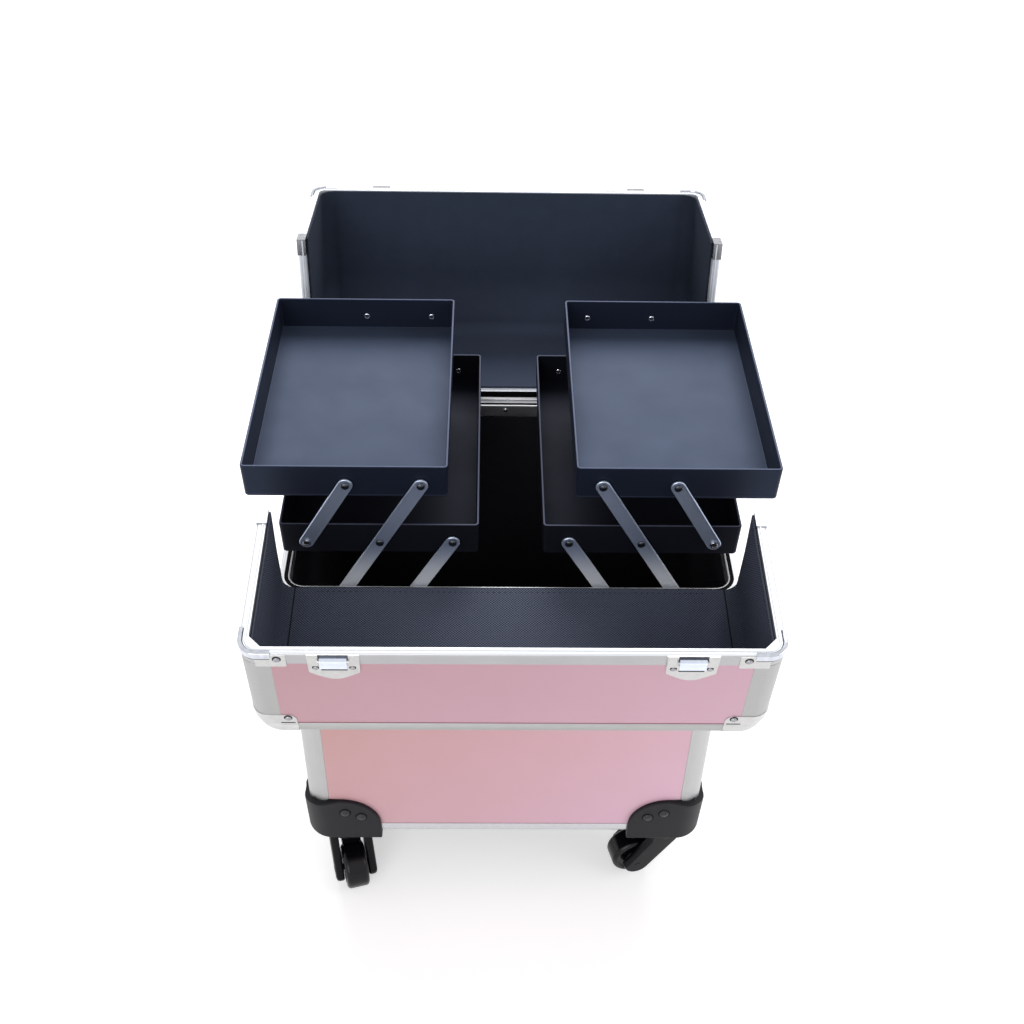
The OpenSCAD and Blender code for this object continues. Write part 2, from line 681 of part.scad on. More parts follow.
module bracket_rivets() color(black) in_box() front_and_rear() both_sides()
    translate([-half_w, 0, 0]) for (p = [wing_rivet_1, wing_rivet_2]) {
        wing_rivet(p);
        mirror([1, -1, 0]) wing_rivet(p);
    }
module at_caster(i) {
    side = i % 2 == 0 ? -1 : 1;
    y = i < 2 ? caster_inset_y : case_d - caster_inset_y;
    translate([side * (half_w - caster_inset_x), front_y + y, 0])
        rotate([0, 0, caster_heading[i]]) children();
}
module fork_leg() {
    polygon([
        [-trail - leg_end_r, wheel_r], [-leg_back, fork_top - head_h], [-leg_back, fork_top],
        [leg_front, fork_top], [leg_front, fork_top - head_h],
        [leg_end_r * cos(leg_turn) - trail, wheel_r - leg_end_r * sin(leg_turn)]
    ]);
    translate([-trail, wheel_r]) circle(leg_end_r);
}
module caster_fork(i) color(black) at_caster(i) {
    leg_x = fork_gap / 2;
    difference() {
        union() {
            translate([0, 0, fork_top - head_h]) cylinder(r = housing_r, h = head_h);
            translate([0, 0, fork_top - eps]) cylinder(r = stem_r, h = stem_l + eps);
            both_sides() extrude_x(leg_x, leg_x + leg_t) fork_leg();
        }
        translate([0, -trail, wheel_r]) rod_x(axle_r + run_clear, case_w);
    }
    translate([0, -trail, wheel_r]) rod_x(axle_r, fork_gap + 2 * leg_t);
}
module caster_wheel(i) color(black) at_caster(i) translate([0, -trail, wheel_r]) rotate([0, 90, 0]) {
    rotate_extrude() difference() {
        union() {
            translate([0, -wheel_w / 2]) square([wheel_r - wheel_round, wheel_w]);
            translate([0, wheel_round - wheel_w / 2]) square([wheel_r, wheel_w - 2 * wheel_round]);
            for (s = [-1, 1])
                translate([wheel_r - wheel_round, s * (wheel_w / 2 - wheel_round)]) circle(wheel_round);
        }
        translate([0, -wheel_w]) square([axle_r + run_clear, 2 * wheel_w]);
        for (s = [-1, 1])
            translate([dish_r, s * wheel_w / 2 - dish_t]) square([dish_w, 2 * dish_t]);
    }
}
module caster_fork_front_left() caster_fork(0);
module caster_fork_front_right() caster_fork(1);
module caster_fork_rear_left() caster_fork(2);
module caster_fork_rear_right() caster_fork(3);
module caster_wheel_front_left() caster_wheel(0);
module caster_wheel_front_right() caster_wheel(1);
module caster_wheel_rear_left() caster_wheel(2);
module caster_wheel_rear_right() caster_wheel(3);

// Pull handle, pushed down on the rear of the case
module tube_bracket(z) difference() {
    translate([0, case_d + tube_bracket_d / 2, z]) linear_extrude(tube_bracket_h)
        rounded_rect(grip_w, tube_bracket_d, tube_bracket_round);
    both_sides() translate([tube_x, handle_y, z - eps])
        cylinder(r = tube_r + run_clear, h = tube_bracket_h + 2 * eps);
}
module handle_brackets() color(black) in_box() {
    tube_bracket(tube_bracket_z);
    tube_bracket(tube_top - caster_h - tube_bracket_h);
}
module handle_tubes() color(silver) in_box() both_sides() translate([tube_x, handle_y, tube_bracket_z]) {
    l = tube_top - caster_h - tube_bracket_z;
    difference() {
        cylinder(r = tube_r, h = l);
        translate([0, 0, -eps]) cylinder(r = rod_r + run_clear, h = l + 2 * eps);
    }
}
module handle_rods() color(silver) in_box() both_sides() translate([tube_x, handle_y, tube_bracket_z])
    cylinder(r = rod_r, h = grip_z - caster_h - tube_bracket_z);
module handle_grip() color(black) translate([0, front_y + handle_y, grip_z]) difference() {
    extrude_x(-grip_w / 2, grip_w / 2) translate([0, grip_h / 2]) rounded_rect(grip_d, grip_h, grip_round);
    translate([0, 0, grip_h - button_h]) linear_extrude(grip_h)
        square([button_w + 2 * slide_clear, button_d + 2 * slide_clear], center = true);
}
module handle_button() color(grey)
    translate([0, front_y + handle_y, grip_z + grip_h - button_h + button_proud])
        linear_extrude(button_h) rounded_rect(button_w, button_d, button_round);

body_front_panel();
body_rear_panel();
body_side_panels();
body_bottom_panel();
body_corner_posts();
body_base_trim();
body_rim();
body_lining();
front_hinge();
rear_hinge();
arm_pivots();
caster_brackets();
bracket_rivets();
handle_brackets();
handle_tubes();
handle_rods();
handle_grip();
handle_button();
flap_front_panel();
flap_top_panel();
flap_side_panels();
flap_edge_profiles();
flap_rim();
flap_corner_plates();
flap_rivets();
flap_lining();
flap_hinge_leaf();
latch_bases();
latch_lever_left();
latch_lever_right();
lid_top_panel();
lid_rear_panel();
lid_side_panels();
lid_edge_profiles();
lid_rim();
lid_corner_plates();
lid_rivets();
lid_lining();
lid_hinge_leaf();
latch_catches();
long_arms_left();
lower_links_left();
upper_links_left();
lower_tray_left();
upper_tray_left();
long_arms_right();
lower_links_right();
upper_links_right();
lower_tray_right();
upper_tray_right();
caster_fork_front_left();
caster_fork_front_right();
caster_fork_rear_left();
caster_fork_rear_right();
caster_wheel_front_left();
caster_wheel_front_right();
caster_wheel_rear_left();
caster_wheel_rear_right();
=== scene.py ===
# %% [markdown]
# # A rolling makeup case, standing open
# The case is shown with its lid leaning back, its front flap lying forward as a trough, and two
# trays a side held out on flat arms. The solid model gives every place and size, and this lesson
# dresses it: rolled metal edges, pressed corners, moulded trays, glued cloth and small fasteners.

# %% Load the solid model
import json
import math

import bmesh
import bpy
from mathutils import Matrix, Vector


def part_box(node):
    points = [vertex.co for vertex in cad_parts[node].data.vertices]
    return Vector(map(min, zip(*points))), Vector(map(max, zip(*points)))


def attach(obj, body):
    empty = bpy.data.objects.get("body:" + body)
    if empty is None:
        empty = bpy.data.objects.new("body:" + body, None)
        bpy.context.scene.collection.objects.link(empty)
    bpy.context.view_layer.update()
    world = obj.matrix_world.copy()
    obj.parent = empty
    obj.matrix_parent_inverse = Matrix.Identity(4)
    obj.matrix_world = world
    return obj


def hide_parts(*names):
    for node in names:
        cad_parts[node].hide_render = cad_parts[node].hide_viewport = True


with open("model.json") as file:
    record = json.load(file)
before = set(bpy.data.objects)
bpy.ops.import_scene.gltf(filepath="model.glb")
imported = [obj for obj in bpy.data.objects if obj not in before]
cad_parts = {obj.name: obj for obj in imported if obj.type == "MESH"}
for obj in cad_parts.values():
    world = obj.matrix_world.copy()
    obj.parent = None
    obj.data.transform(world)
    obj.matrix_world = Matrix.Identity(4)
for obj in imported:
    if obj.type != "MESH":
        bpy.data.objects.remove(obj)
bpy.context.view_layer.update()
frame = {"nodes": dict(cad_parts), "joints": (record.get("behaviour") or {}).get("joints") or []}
nodes = frame["nodes"]
joints = {joint["name"]: joint for joint in frame["joints"]}
print("nodes:", len(nodes), "joints:", len(joints))

# %% [markdown]
# ## Three places to work in
# Shapes are written in millimetres, as a maker would draw them, and each is put in place by one
# matrix. Flap and lid are drawn as on the closed case, with y going back from the front face and z
# going up from the rim, and their matrices swing them open on the hinges that the model names.

# %% Sizes and places
MM = 0.001
HINGE_OUT, RIM_GAP = 1.6, 0.8
FLAP_OPEN, LID_OPEN, ARM_LEAN = (math.radians(angle) for angle in (96.7, 97.2, 30))
UPPER_H, CORNER_R, EDGE_R = 125.0, 20.0, 12.0
PANEL_T, LINING_T, RIM_BAND = 6.0, 2.0, 12.0
FLAP_EDGE, LID_EDGE = 96.1, 96.9
WALL = PANEL_T + LINING_T

front_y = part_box("body_front_panel")[0].y / MM
case_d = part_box("body_rear_panel")[1].y / MM - front_y
half_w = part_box("body_side_panels")[1].x / MM
rim_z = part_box("body_rim")[1].z / MM
base_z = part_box("body_base_trim")[0].z / MM
panel_x = half_w - CORNER_R


def swung(joint, turn, shift):
    hinge = Matrix.Translation(joints[joint]["pos_m"]) @ Matrix.Rotation(turn, 4, "X")
    return hinge @ Matrix.Scale(MM, 4) @ Matrix.Translation(shift)


IN_FLAP = swung("flap_hinge", FLAP_OPEN, (0, HINGE_OUT, -RIM_GAP / 2))
IN_LID = swung("lid_hinge", -LID_OPEN, (0, -case_d - HINGE_OUT, -RIM_GAP / 2))
IN_BOX = Matrix.Translation((0, front_y * MM, 0)) @ Matrix.Scale(MM, 4)
IN_FRAME, IN_MM = Matrix.Identity(4), Matrix.Scale(MM, 4)
print(f"case {2 * half_w:.0f} x {case_d:.0f} mm, rim at {rim_z:.0f} mm")

# %% [markdown]
# ## Camera
# The photograph looks down on the open case from the front. The camera's place, turn and lens were
# worked out from the straight edges of the case, so that the render can be laid over the photograph.

# %% Camera
CAMERA_PITCH, CAMERA_YAW, CAMERA_ROLL = (math.radians(angle) for angle in (41.906, -1.458, 1.348))
CAMERA_FROM_RIM = Vector((-17.87, -705.13, 718.12))
SENSOR, LENS = 36, 45.687


def linked(name, data):
    """A new object in the scene, at the origin."""
    made = bpy.data.objects.new(name, data)
    bpy.context.scene.collection.objects.link(made)
    return made


camera = linked("camera", bpy.data.cameras.new("camera"))
camera.data.sensor_width, camera.data.lens = SENSOR, LENS
camera.matrix_world = (
    Matrix.Translation((CAMERA_FROM_RIM + Vector((0, front_y, rim_z))) * MM)
    @ Matrix.Rotation(CAMERA_YAW, 4, "Z")
    @ Matrix.Rotation(math.pi / 2 - CAMERA_PITCH, 4, "X")
    @ Matrix.Rotation(CAMERA_ROLL, 4, "Z")
)
bpy.context.scene.camera = camera
print("camera at", [round(value, 3) for value in camera.location])

# %% [markdown]
# ## Materials as expressions
# A finish is mostly sums and products of patterns. They could be wired node by node, but a long sum is
# hard to read that way. A small class wraps a socket instead, so that a sum is written as a plain
# expression, which adds its own Math nodes.

# %% Values


class Value:
    """A socket of a finish. Sums and products of values add Math nodes."""

    def __init__(self, finish, socket):
        self.finish, self.socket = finish, socket

    def math(self, operation, first, second=0.0):
        return self.finish.add("Math", {"operation": operation}, {0: first, 1: second})

    def __add__(self, other):
        return self.math("ADD", self, other)

    def __sub__(self, other):
        return self.math("SUBTRACT", self, other)

    def __rsub__(self, other):
        return self.math("SUBTRACT", other, self)

    def __mul__(self, other):
        return self.math("MULTIPLY", self, other)

    def __gt__(self, other):
        return self.math("GREATER_THAN", self, other)

    def __lt__(self, other):
        return self.math("LESS_THAN", self, other)

    def sine(self):
        return self.math("SINE", self)

    def size(self):
        return self.math("ABSOLUTE", self)

    __radd__ = __add__
    __rmul__ = __mul__


# %% [markdown]
# A finish is a material with one Principled shader. What changes over the surface is worked out in
# front of it, and a number that is the same all over is set on the shader's own socket. One method
# adds any node, and short ones stand for the patterns that come back.

# %% Finishes


class Finish:
    """A material with one Principled shader."""

    def __init__(self, name, **constants):
        self.material = bpy.data.materials.new(name)
        self.material.use_nodes = True
        self.tree = self.material.node_tree
        self.shader = self.tree.nodes["Principled BSDF"]
        self.show(**constants)
        print("finish:", name)

    def add(self, kind, settings=None, inputs=None, output=0):
        node = self.tree.nodes.new("ShaderNode" + kind)
        for setting, value in (settings or {}).items():
            setattr(node, setting, value)
        for key, value in (inputs or {}).items():
            self.feed(node.inputs[key], value)
        return Value(self, node.outputs[output])

    def feed(self, socket, value):
        if isinstance(value, Value):
            self.tree.links.new(value.socket, socket)
        else:
            socket.default_value = value

    def show(self, **sockets):
        """Sets or links sockets of the shader, whose names are written with underscores."""
        for name, value in sockets.items():
            self.feed(self.shader.inputs[name.replace("_", " ").title().replace("Ior", "IOR")], value)

    def place(self):
        return self.add("TexCoord", output="Object")

    def axis(self, axis):
        """One of the Object coordinates, in metres."""
        return self.add("SeparateXYZ", None, {0: self.place()}, axis)

    def ramp(self, value, start, stop):
        """Rises smoothly from 0 at start to 1 at stop, both in millimetres."""
        limits = {0: value, 1: start * MM, 2: stop * MM}
        return self.add("MapRange", {"interpolation_type": "SMOOTHSTEP"}, limits)

    def noise(self, grain, detail=2.0, stretch=(1, 1, 1), turn=(0, 0, 0)):
        """Noise on Object coordinates, with lumps of about grain millimetres."""
        scale = tuple(1 / (grain * MM * part) for part in stretch)
        spread = self.add("Mapping", None, {"Vector": self.place(), "Rotation": turn, "Scale": scale})
        return self.add("TexNoise", None, {"Vector": spread, "Scale": 1.0, "Detail": detail})

    def mix(self, factor, first, second):
        return self.add("Mix", {"data_type": "RGBA"}, {0: factor, 6: first, 7: second}, output=2)

    def bump(self, height, depth, strength=1.0):
        """Bump whose height runs from 0 to depth millimetres."""
        inputs = {"Strength": strength, "Distance": depth * MM, "Height": height}
        self.show(Normal=self.add("Bump", None, inputs))


def rgb(red, green, blue):
    """A colour written as it looks on screen, from 0 to 255."""
    return tuple(((part / 255 + 0.055) / 1.055) ** 2.4 for part in (red, green, blue)) + (1.0,)


# %% [markdown]
# ## Laminate
# The panels are boards with a satin pink laminate under a thin clear coat. One flat colour would look
# like paint. So the tone drifts a little across the case, a painted shade darkens it above a middle
# height and lightens it below, and a very fine bump breaks the gloss.

# %% Laminate
ACROSS, SHADE_DOWN = 0.8, 2.4


def laminate(name, left, right, middle):
    """Pink laminate whose tone drifts across the case, with a painted shade that darkens it above a middle
    height.
    """
    finish = Finish(name, coat_weight=0.12, coat_roughness=0.25)
    drift = finish.axis(0) * (ACROSS / (2 * half_w * MM)) + ACROSS / 2 + finish.noise(60, 3) * 0.2
    # Painted shade: the colour is darker above the middle height and lighter below it.
    drift = drift + (middle * MM - finish.axis(2)) * SHADE_DOWN
    finish.show(Base_Color=finish.mix(drift, left, right), Roughness=finish.noise(9, 3) * 0.10 + 0.34)
    finish.bump(finish.noise(1.6, 1), 0.02, 0.5)
    return finish.material


PINK = laminate("pink_laminate", rgb(209, 161, 158), rgb(231, 188, 207), rim_z / 2)
PLAIN_PINK = laminate("pink_laminate_plain", rgb(220, 175, 180), rgb(227, 184, 194), rim_z / 2)
# A darker copy of the laminate for the flap's and the lid's panels: painted shade.
SHADED_UPPER_PINK = laminate("pink_laminate_upper_shaded", rgb(192, 147, 155), rgb(217, 173, 192), rim_z + 40)

# %% [markdown]
# ## Metals
# The frame is drawn aluminium with a matt anodised skin. Its drawing lines are noise that is stretched
# along the profile, which costs less than a texture and never repeats. A painted highlight makes the
# flat lands of the rims paler: the colour changes beyond a plane that lies just under each land.

# %% Drawn aluminium
ALONG_X, ALONG_Z = (30, 1, 1), (1, 1, 30)


def drawn_metal(name, dark, light, roughness, along=ALONG_X, metallic=1.0, land=None):
    """Aluminium with drawing lines that run the way that along stretches them.

    land is a plane, as its direction and distance, and the colour of a painted highlight beyond it, where the
    metal is also made less metallic.
    """
    finish = Finish(name, metallic=metallic)
    lines, haze = finish.noise(0.6, 3, along), finish.noise(18, 3)
    colour = finish.mix(lines * 0.5 + haze * 0.5, dark, light)
    if land:
        # Painted highlight: beyond the plane the colour is paler and the metal less metallic.
        facing, distance, highlight = land
        reach = finish.add("VectorMath", {"operation": "DOT_PRODUCT"}, {0: finish.place(), 1: facing}, "Value")
        beyond = reach > distance
        colour = finish.mix(beyond, colour, highlight)
        finish.show(Metallic=1 - beyond * 0.7)
    finish.show(Base_Color=colour, Roughness=haze * 0.12 + lines * 0.06 + roughness)
    finish.bump(lines, 0.012, 0.35)
    return finish.material


flap_up = (IN_FLAP.to_3x3() @ Vector((0, 1, 0))).normalized()
# Painted highlights for the lands of the flap's rim and of the box's rim.
FLAP_LAND_HIGHLIGHT = (tuple(flap_up), flap_up.dot(IN_FLAP @ Vector((0, FLAP_EDGE - 0.5, 0))), rgb(230, 233, 238))
BOX_LAND_HIGHLIGHT = ((0, 0, 1), (rim_z - 1) * MM, rgb(248, 250, 253))
ALUMINIUM = drawn_metal("satin_aluminium", rgb(166, 166, 168), rgb(188, 188, 191), 0.34, land=FLAP_LAND_HIGHLIGHT)
# The lid's rim takes a paler, less metallic copy: a painted highlight.
HIGHLIT_ALUMINIUM = drawn_metal("highlit_aluminium", rgb(218, 222, 231), rgb(236, 239, 245), 0.36, metallic=0.5)
# The box's rim is a paler copy too, a painted highlight, with more of it on its land.
LAND_ALUMINIUM = drawn_metal("highlit_land_aluminium", rgb(212, 214, 220), rgb(232, 234, 239), 0.36, land=BOX_LAND_HIGHLIGHT)
UPRIGHT_ALUMINIUM = drawn_metal("upright_aluminium", rgb(170, 170, 170), rgb(190, 190, 191), 0.36, ALONG_Z)
EDGE_ALUMINIUM = drawn_metal("edge_aluminium", rgb(159, 160, 158), rgb(180, 181, 181), 0.36)

# %% [markdown]
# Pressed fittings are plated with nickel, which is smoother and shows faint handling marks. The arms are
# rolled steel strip, with fine lines along each arm. A painted reflection pales them towards their lower
# ends, where they are also made less metallic.

# %% Nickel and rolled strip


def nickel(name, dark, light, roughness):
    finish = Finish(name, metallic=1.0)
    marks = finish.noise(4, 4)
    rubbing_and_sheen = finish.noise(1.2, 3, (6, 1, 1)) * marks
    finish.show(Base_Color=finish.mix(marks, dark, light), Roughness=rubbing_and_sheen * 0.16 + roughness)
    finish.bump(finish.noise(3, 2), 0.008, 0.3)
    return finish.material


def rolled_strip(name, lean):
    """Rolled steel strip with fine lines along the arm, with a painted reflection that pales it towards its
    lower end, where it is less metallic.
    """
    finish = Finish(name)
    lines, blotch = finish.noise(0.5, 3, (1, 1, 40), (0, lean, 0)), finish.noise(10, 3)
    # Painted reflection: the lower ends turn paler and less metallic.
    lower_reflection = finish.ramp(finish.axis(2), rim_z + 46, rim_z + 4)
    steel = finish.mix(lines * 0.6 + blotch * 0.4, rgb(184, 197, 222), rgb(204, 215, 236))
    finish.show(
        Base_Color=finish.mix(lower_reflection, steel, rgb(242, 246, 254)),
        Metallic=(1 - lower_reflection) * 0.8,
        Roughness=blotch * 0.1 + lines * 0.06 + 0.26,
    )
    finish.bump(lines, 0.01, 0.35)
    return finish.material


ARM_LEFT, ARM_RIGHT = rolled_strip("arm_strip_left", -ARM_LEAN), rolled_strip("arm_strip_right", ARM_LEAN)
BRIGHT = nickel("bright_nickel", rgb(212, 216, 226), rgb(232, 234, 240), 0.14)
DULL = nickel("dull_nickel", rgb(196, 198, 202), rgb(218, 219, 222), 0.3)
LEVER = nickel("lever_nickel", rgb(204, 213, 232), rgb(228, 234, 246), 0.16)
CHROME = nickel("clip_chrome", rgb(176, 180, 190), rgb(226, 229, 237), 0.08)
PLATE = nickel("plate_nickel", rgb(184, 184, 184), rgb(208, 208, 207), 0.3)
RIVET = nickel("rivet_steel", rgb(132, 133, 138), rgb(172, 173, 178), 0.2)
DARK_RIVET = nickel("dark_rivet", rgb(52, 54, 60), rgb(92, 95, 102), 0.26)

# %% [markdown]
# ## Plastics
# Brackets, wheels and trays come from moulds, whose fine grain shows as a bump, and handling leaves
# blotches of gloss. A tray's floor carries a painted reflection, paler in patches, and its rim a painted
# highlight as a thin line. Both are found by their height, which is simpler than painting faces.

# %% Plastics


def moulded(name, dark, light, roughness, grain=0.5, depth=0.03, specular=0.5):
    """Plastic from a spark-eroded mould: an even fine grain under slight handling marks."""
    finish = Finish(name, specular_ior_level=specular)
    speck, wear = finish.noise(grain, 2), finish.noise(30, 4)
    finish.show(Base_Color=finish.mix(wear, dark, light), Roughness=wear * 0.14 + speck * 0.06 + roughness)
    finish.bump(speck, depth, 0.6)
    return finish.material


def tray_plastic(name, node, wall, floor, rim_highlight, roughness, specular, tint):
    """Smooth black plastic, with a painted reflection that pales the floor in patches and a painted highlight
    on the rim as a thin line.
    """
    finish = Finish(name, specular_ior_level=specular, specular_tint=tint)
    speck, wear, rubbing_and_sheen = finish.noise(0.6, 2), finish.noise(30, 4), finish.noise(70, 2)
    low, high = (corner.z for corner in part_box(node))
    height = finish.axis(2)
    # Painted reflection on the floor, paler in patches, and a painted highlight along the rim.
    on_floor = (height - (low + 2.0 * MM)).size() < 0.25 * MM
    colour = finish.mix(on_floor * (rubbing_and_sheen * 0.8 + 0.6), wall, floor)
    finish.show(
        Base_Color=finish.mix(height > high - 0.04 * MM, colour, rim_highlight),
        Roughness=wear * 0.14 + speck * 0.06 + roughness,
    )
    finish.bump(speck, 0.02, 0.6)
    return finish.material


# The floor and rim colours are a painted reflection and a painted highlight.
TRAY = tray_plastic(
    "tray_plastic", "upper_tray_left", rgb(21, 24, 34), rgb(56, 64, 80), rgb(80, 86, 106),
    roughness=0.43, specular=0.4, tint=rgb(165, 195, 255),
)
# A darker, less glossy copy for the lower trays, which sit under the upper ones: painted shade.
SHADED_LOWER_TRAY = tray_plastic(
    "lower_tray_plastic", "lower_tray_left", rgb(22, 23, 29), rgb(27, 28, 35), rgb(90, 94, 113),
    roughness=0.42, specular=0.1, tint=rgb(190, 205, 255),
)
# A dark pink for the painted shadow line under the flap's lower trim.
PINK_SHADOW_LINE = moulded("pink_shadow_line", rgb(150, 108, 122), rgb(160, 118, 132), 0.5, 0.5, 0.02, 0.3)
# Painted shade, for the dark holes, slits and shadow lines.
SHADE = moulded("painted_shade", rgb(36, 34, 36), rgb(52, 50, 54), 0.6, 0.5, 0.02, 0.2)
# A near-black, for the dark strips along the rims and for the painted shade rings round the bracket caps.
NEAR_BLACK = moulded("near_black", rgb(6, 6, 8), rgb(11, 11, 14), 0.7, 0.5, 0.02, 0.1)
BLACK = moulded("bracket_plastic", rgb(20, 20, 24), rgb(26, 26, 31), 0.42, 0.5, 0.03, 0.22)
# The caps are a slightly lighter and glossier copy of the bracket's plastic: a painted highlight.
HIGHLIT_CAP = moulded("cap_plastic", rgb(27, 27, 31), rgb(37, 37, 41), 0.3, 0.5, 0.02, 0.4)
FORK = moulded("fork_plastic", rgb(6, 7, 11), rgb(11, 12, 17), 0.22, 0.5, 0.02, 0.16)
WHEEL = moulded("wheel_plastic", rgb(6, 7, 11), rgb(11, 12, 17), 0.1, 1.2, 0.01, 0.26)
BOARD = moulded("black_board", rgb(34, 34, 37), rgb(44, 44, 47), 0.6, 1.5, 0.05, 0.3)
BUTTON = moulded("grey_button", rgb(150, 152, 156), rgb(162, 164, 168), 0.4, 0.5, 0.02)
THREADS = moulded("stitch_thread", rgb(14, 16, 22), rgb(24, 27, 34), 0.6, 0.3, 0.03, 0.3)

# %% [markdown]
# ## Cloth
# The cloth is a dark twill. Its threads follow the piece's own map, which is laid out flat in
# metres, so the weave keeps its size round every corner. The bump carries the ribs, and a painted
# highlight lightens the colour on the crown of each thread. Painted shade darkens the side walls and
# painted light pales the cloth towards the hinge. Where two widths of cloth meet, a seam runs as a dark line.

# %% Cloth
THREAD = (1.11, 1.08)
CLOTH_MAP = "cloth"
SEAM_X, SEAM_HALF = panel_x + 4, 0.55


def twill(name, dark, light, relief, crown_highlight=0.75, seam=0.0, side_shade=0.0, hinge_light=0.0):
    """Woven cloth with a painted highlight on its thread crowns. Painted shade darkens its side walls and
    painted light pales it towards the hinge.
    """
    finish = Finish(name, specular_ior_level=0.2)
    flat = finish.add("UVMap", {"uv_map": CLOTH_MAP})
    along, across = (
        finish.add("SeparateXYZ", None, {0: flat}, axis) * (math.pi / (THREAD[axis] * MM)) for axis in (0, 1)
    )
    height = ((along + across).sine() + (along - across).sine()) * 0.25 + 0.5
    fuzz = finish.noise(16, 4)
    # Painted highlight: the colour lightens on the crown of each thread.
    colour = finish.mix(height * crown_highlight + fuzz * (1 - crown_highlight), dark, light)
    side = finish.axis(0).size()
    # Painted shade on the side walls.
    colour = finish.mix(finish.ramp(side, panel_x - 10, half_w - 9) * side_shade, colour, rgb(8, 10, 16))
    # Painted light: the cloth turns paler towards the hinge.
    near_hinge = finish.ramp(finish.axis(2), rim_z + 60, rim_z + 12)
    colour = finish.mix(near_hinge * hinge_light, colour, rgb(124, 136, 164))
    on_seam = (side - SEAM_X * MM).size() < SEAM_HALF * MM
    finish.show(Base_Color=finish.mix(on_seam * seam, colour, rgb(10, 11, 15)), Roughness=fuzz * 0.1 + 0.8)
    finish.bump(height + finish.noise(45, 2) * 1.5, relief)
    return finish.material


CLOTH = twill("trough_twill", rgb(5, 6, 10), rgb(118, 126, 149), 0.2, 0.97, 0.85, 0.42)
LID_CLOTH = twill("lid_twill", rgb(42, 50, 65), rgb(56, 66, 85), 0.04, 0.4, 0.0, 0.35, 0.2)
BOX_CLOTH = twill("box_twill", rgb(30, 30, 35), rgb(52, 53, 60), 0.15)
print("finishes in all:", len(bpy.data.materials))

# %% [markdown]
# ## Making pieces
# Every new piece is a closed mesh, with its edges rounded and its place in its points. It rides on
# the body that carries it and may stand for a node of the solid model. Weighted normals let a large
# face keep its own direction, so that a rounded edge doesn't shade the flat beside it.

# %% Dressing a piece
SHARP = math.radians(40)
PROFILE, STEEL, PLASTIC, ARM_METAL = "aluminium_profile", "bright_steel", "black_plastic", "arm_metal"


def mesh_of(name, bm):
    mesh = bpy.data.meshes.new(name)
    bm.to_mesh(mesh)
    bm.free()
    return mesh


def evaluated(made):
    """The mesh of an object with its modifiers applied."""
    graph = bpy.context.evaluated_depsgraph_get()
    return bpy.data.meshes.new_from_object(made.evaluated_get(graph))


def dress(name, mesh, finish, body, slot, stands_for=()):
    """Makes a piece of a mesh, and says what carries it, what it is made of and what it stands for."""
    mesh.materials.clear()
    mesh.materials.append(finish)
    mesh.shade_smooth()
    mesh.set_sharp_from_angle(angle=SHARP)
    made = linked(name, mesh)
    made.modifiers.new("weights", "WEIGHTED_NORMAL").keep_sharp = True
    weighed = evaluated(made)
    made.modifiers.clear()
    made.data = weighed
    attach(made, body)
    if stands_for:
        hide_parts(*stands_for)
    print(f"{name}: {len(weighed.polygons)} faces on {body}")
    return made


def piece(name, bm, place, finish, body, slot, stands_for=()):
    """A piece from a shape, which is drawn in the place that the matrix gives."""
    bm.transform(place)
    bmesh.ops.recalc_face_normals(bm, faces=bm.faces)
    return dress(name, mesh_of(name, bm), finish, body, slot, stands_for)


# %% [markdown]
# A few shape makers do most of the work: a loft through rings, a lathe, and an outline drawn out to a
# bar. Modifiers could do the same, but a shape that is built point by point can be measured, bent and
# joined to others before it becomes a piece.

# %% Lofts, lathes and bars


def loft(rings, bm=None, caps=True):
    """Faces through closed rings of points, with the first and last ring filled."""
    bm = bm or bmesh.new()
    rows = [[bm.verts.new(point) for point in ring] for ring in rings]
    for low, high in zip(rows, rows[1:]):
        for i in range(len(low)):
            j = (i + 1) % len(low)
            bm.faces.new((low[i], low[j], high[j], high[i]))
    if caps:
        bm.faces.new(list(reversed(rows[0])))
        bm.faces.new(rows[-1])
    return bm


def lathe(profile, steps=40):
    """A solid turned about z from a profile of (radius, height)."""
    turns = [2 * math.pi * i / steps for i in range(steps)]
    return loft([[(r * math.cos(turn), r * math.sin(turn), z) for turn in turns] for r, z in profile])


def bar_of(outline, low, high, bm=None, axes=(0, 1, 2)):
    """An outline of (a, b) points, drawn out along the third of the axes."""
    def put(*values):
        return [value for axis, value in sorted(zip(axes, values))]
    return loft([[put(a, b, c) for a, b in outline] for c in (low, high)], bm)


def slab(left, right, near, far, low, high, bm=None):
    return bar_of([(left, near), (right, near), (right, far), (left, far)], low, high, bm)


def joined(*parts):
    """Several shapes in one."""
    whole = bmesh.new()
    for part in parts:
        mesh = mesh_of("part", part)
        whole.from_mesh(mesh)
        bpy.data.meshes.remove(mesh)
    return whole


# %% [markdown]
# Outlines are straight runs with arcs between them. An arc gives the way out at each of its points
# too, because a section that is swept round it has to know where its outside is.

# %% Arcs


def arc(centre, radius, start, stop, steps=8):
    """Points and outward directions along an arc, with its angles in quarter turns."""
    turns = [(start + (stop - start) * i / steps) * math.pi / 2 for i in range(steps + 1)]
    ways = [(math.cos(turn), math.sin(turn)) for turn in turns]
    return [((centre[0] + radius * x, centre[1] + radius * y), (x, y)) for x, y in ways]


def bend(*arc_values):
    """The points of an arc alone."""
    return [point for point, way in arc(*arc_values)]


def rounded_ring(width, depth, radius, steps=6):
    """A rectangle with round corners about the origin."""
    ring = []
    for quarter, (side, end) in enumerate(((1, 1), (-1, 1), (-1, -1), (1, -1))):
        centre = (side * (width / 2 - radius), end * (depth / 2 - radius))
        ring += bend(centre, radius, quarter, quarter + 1, steps)
    return ring


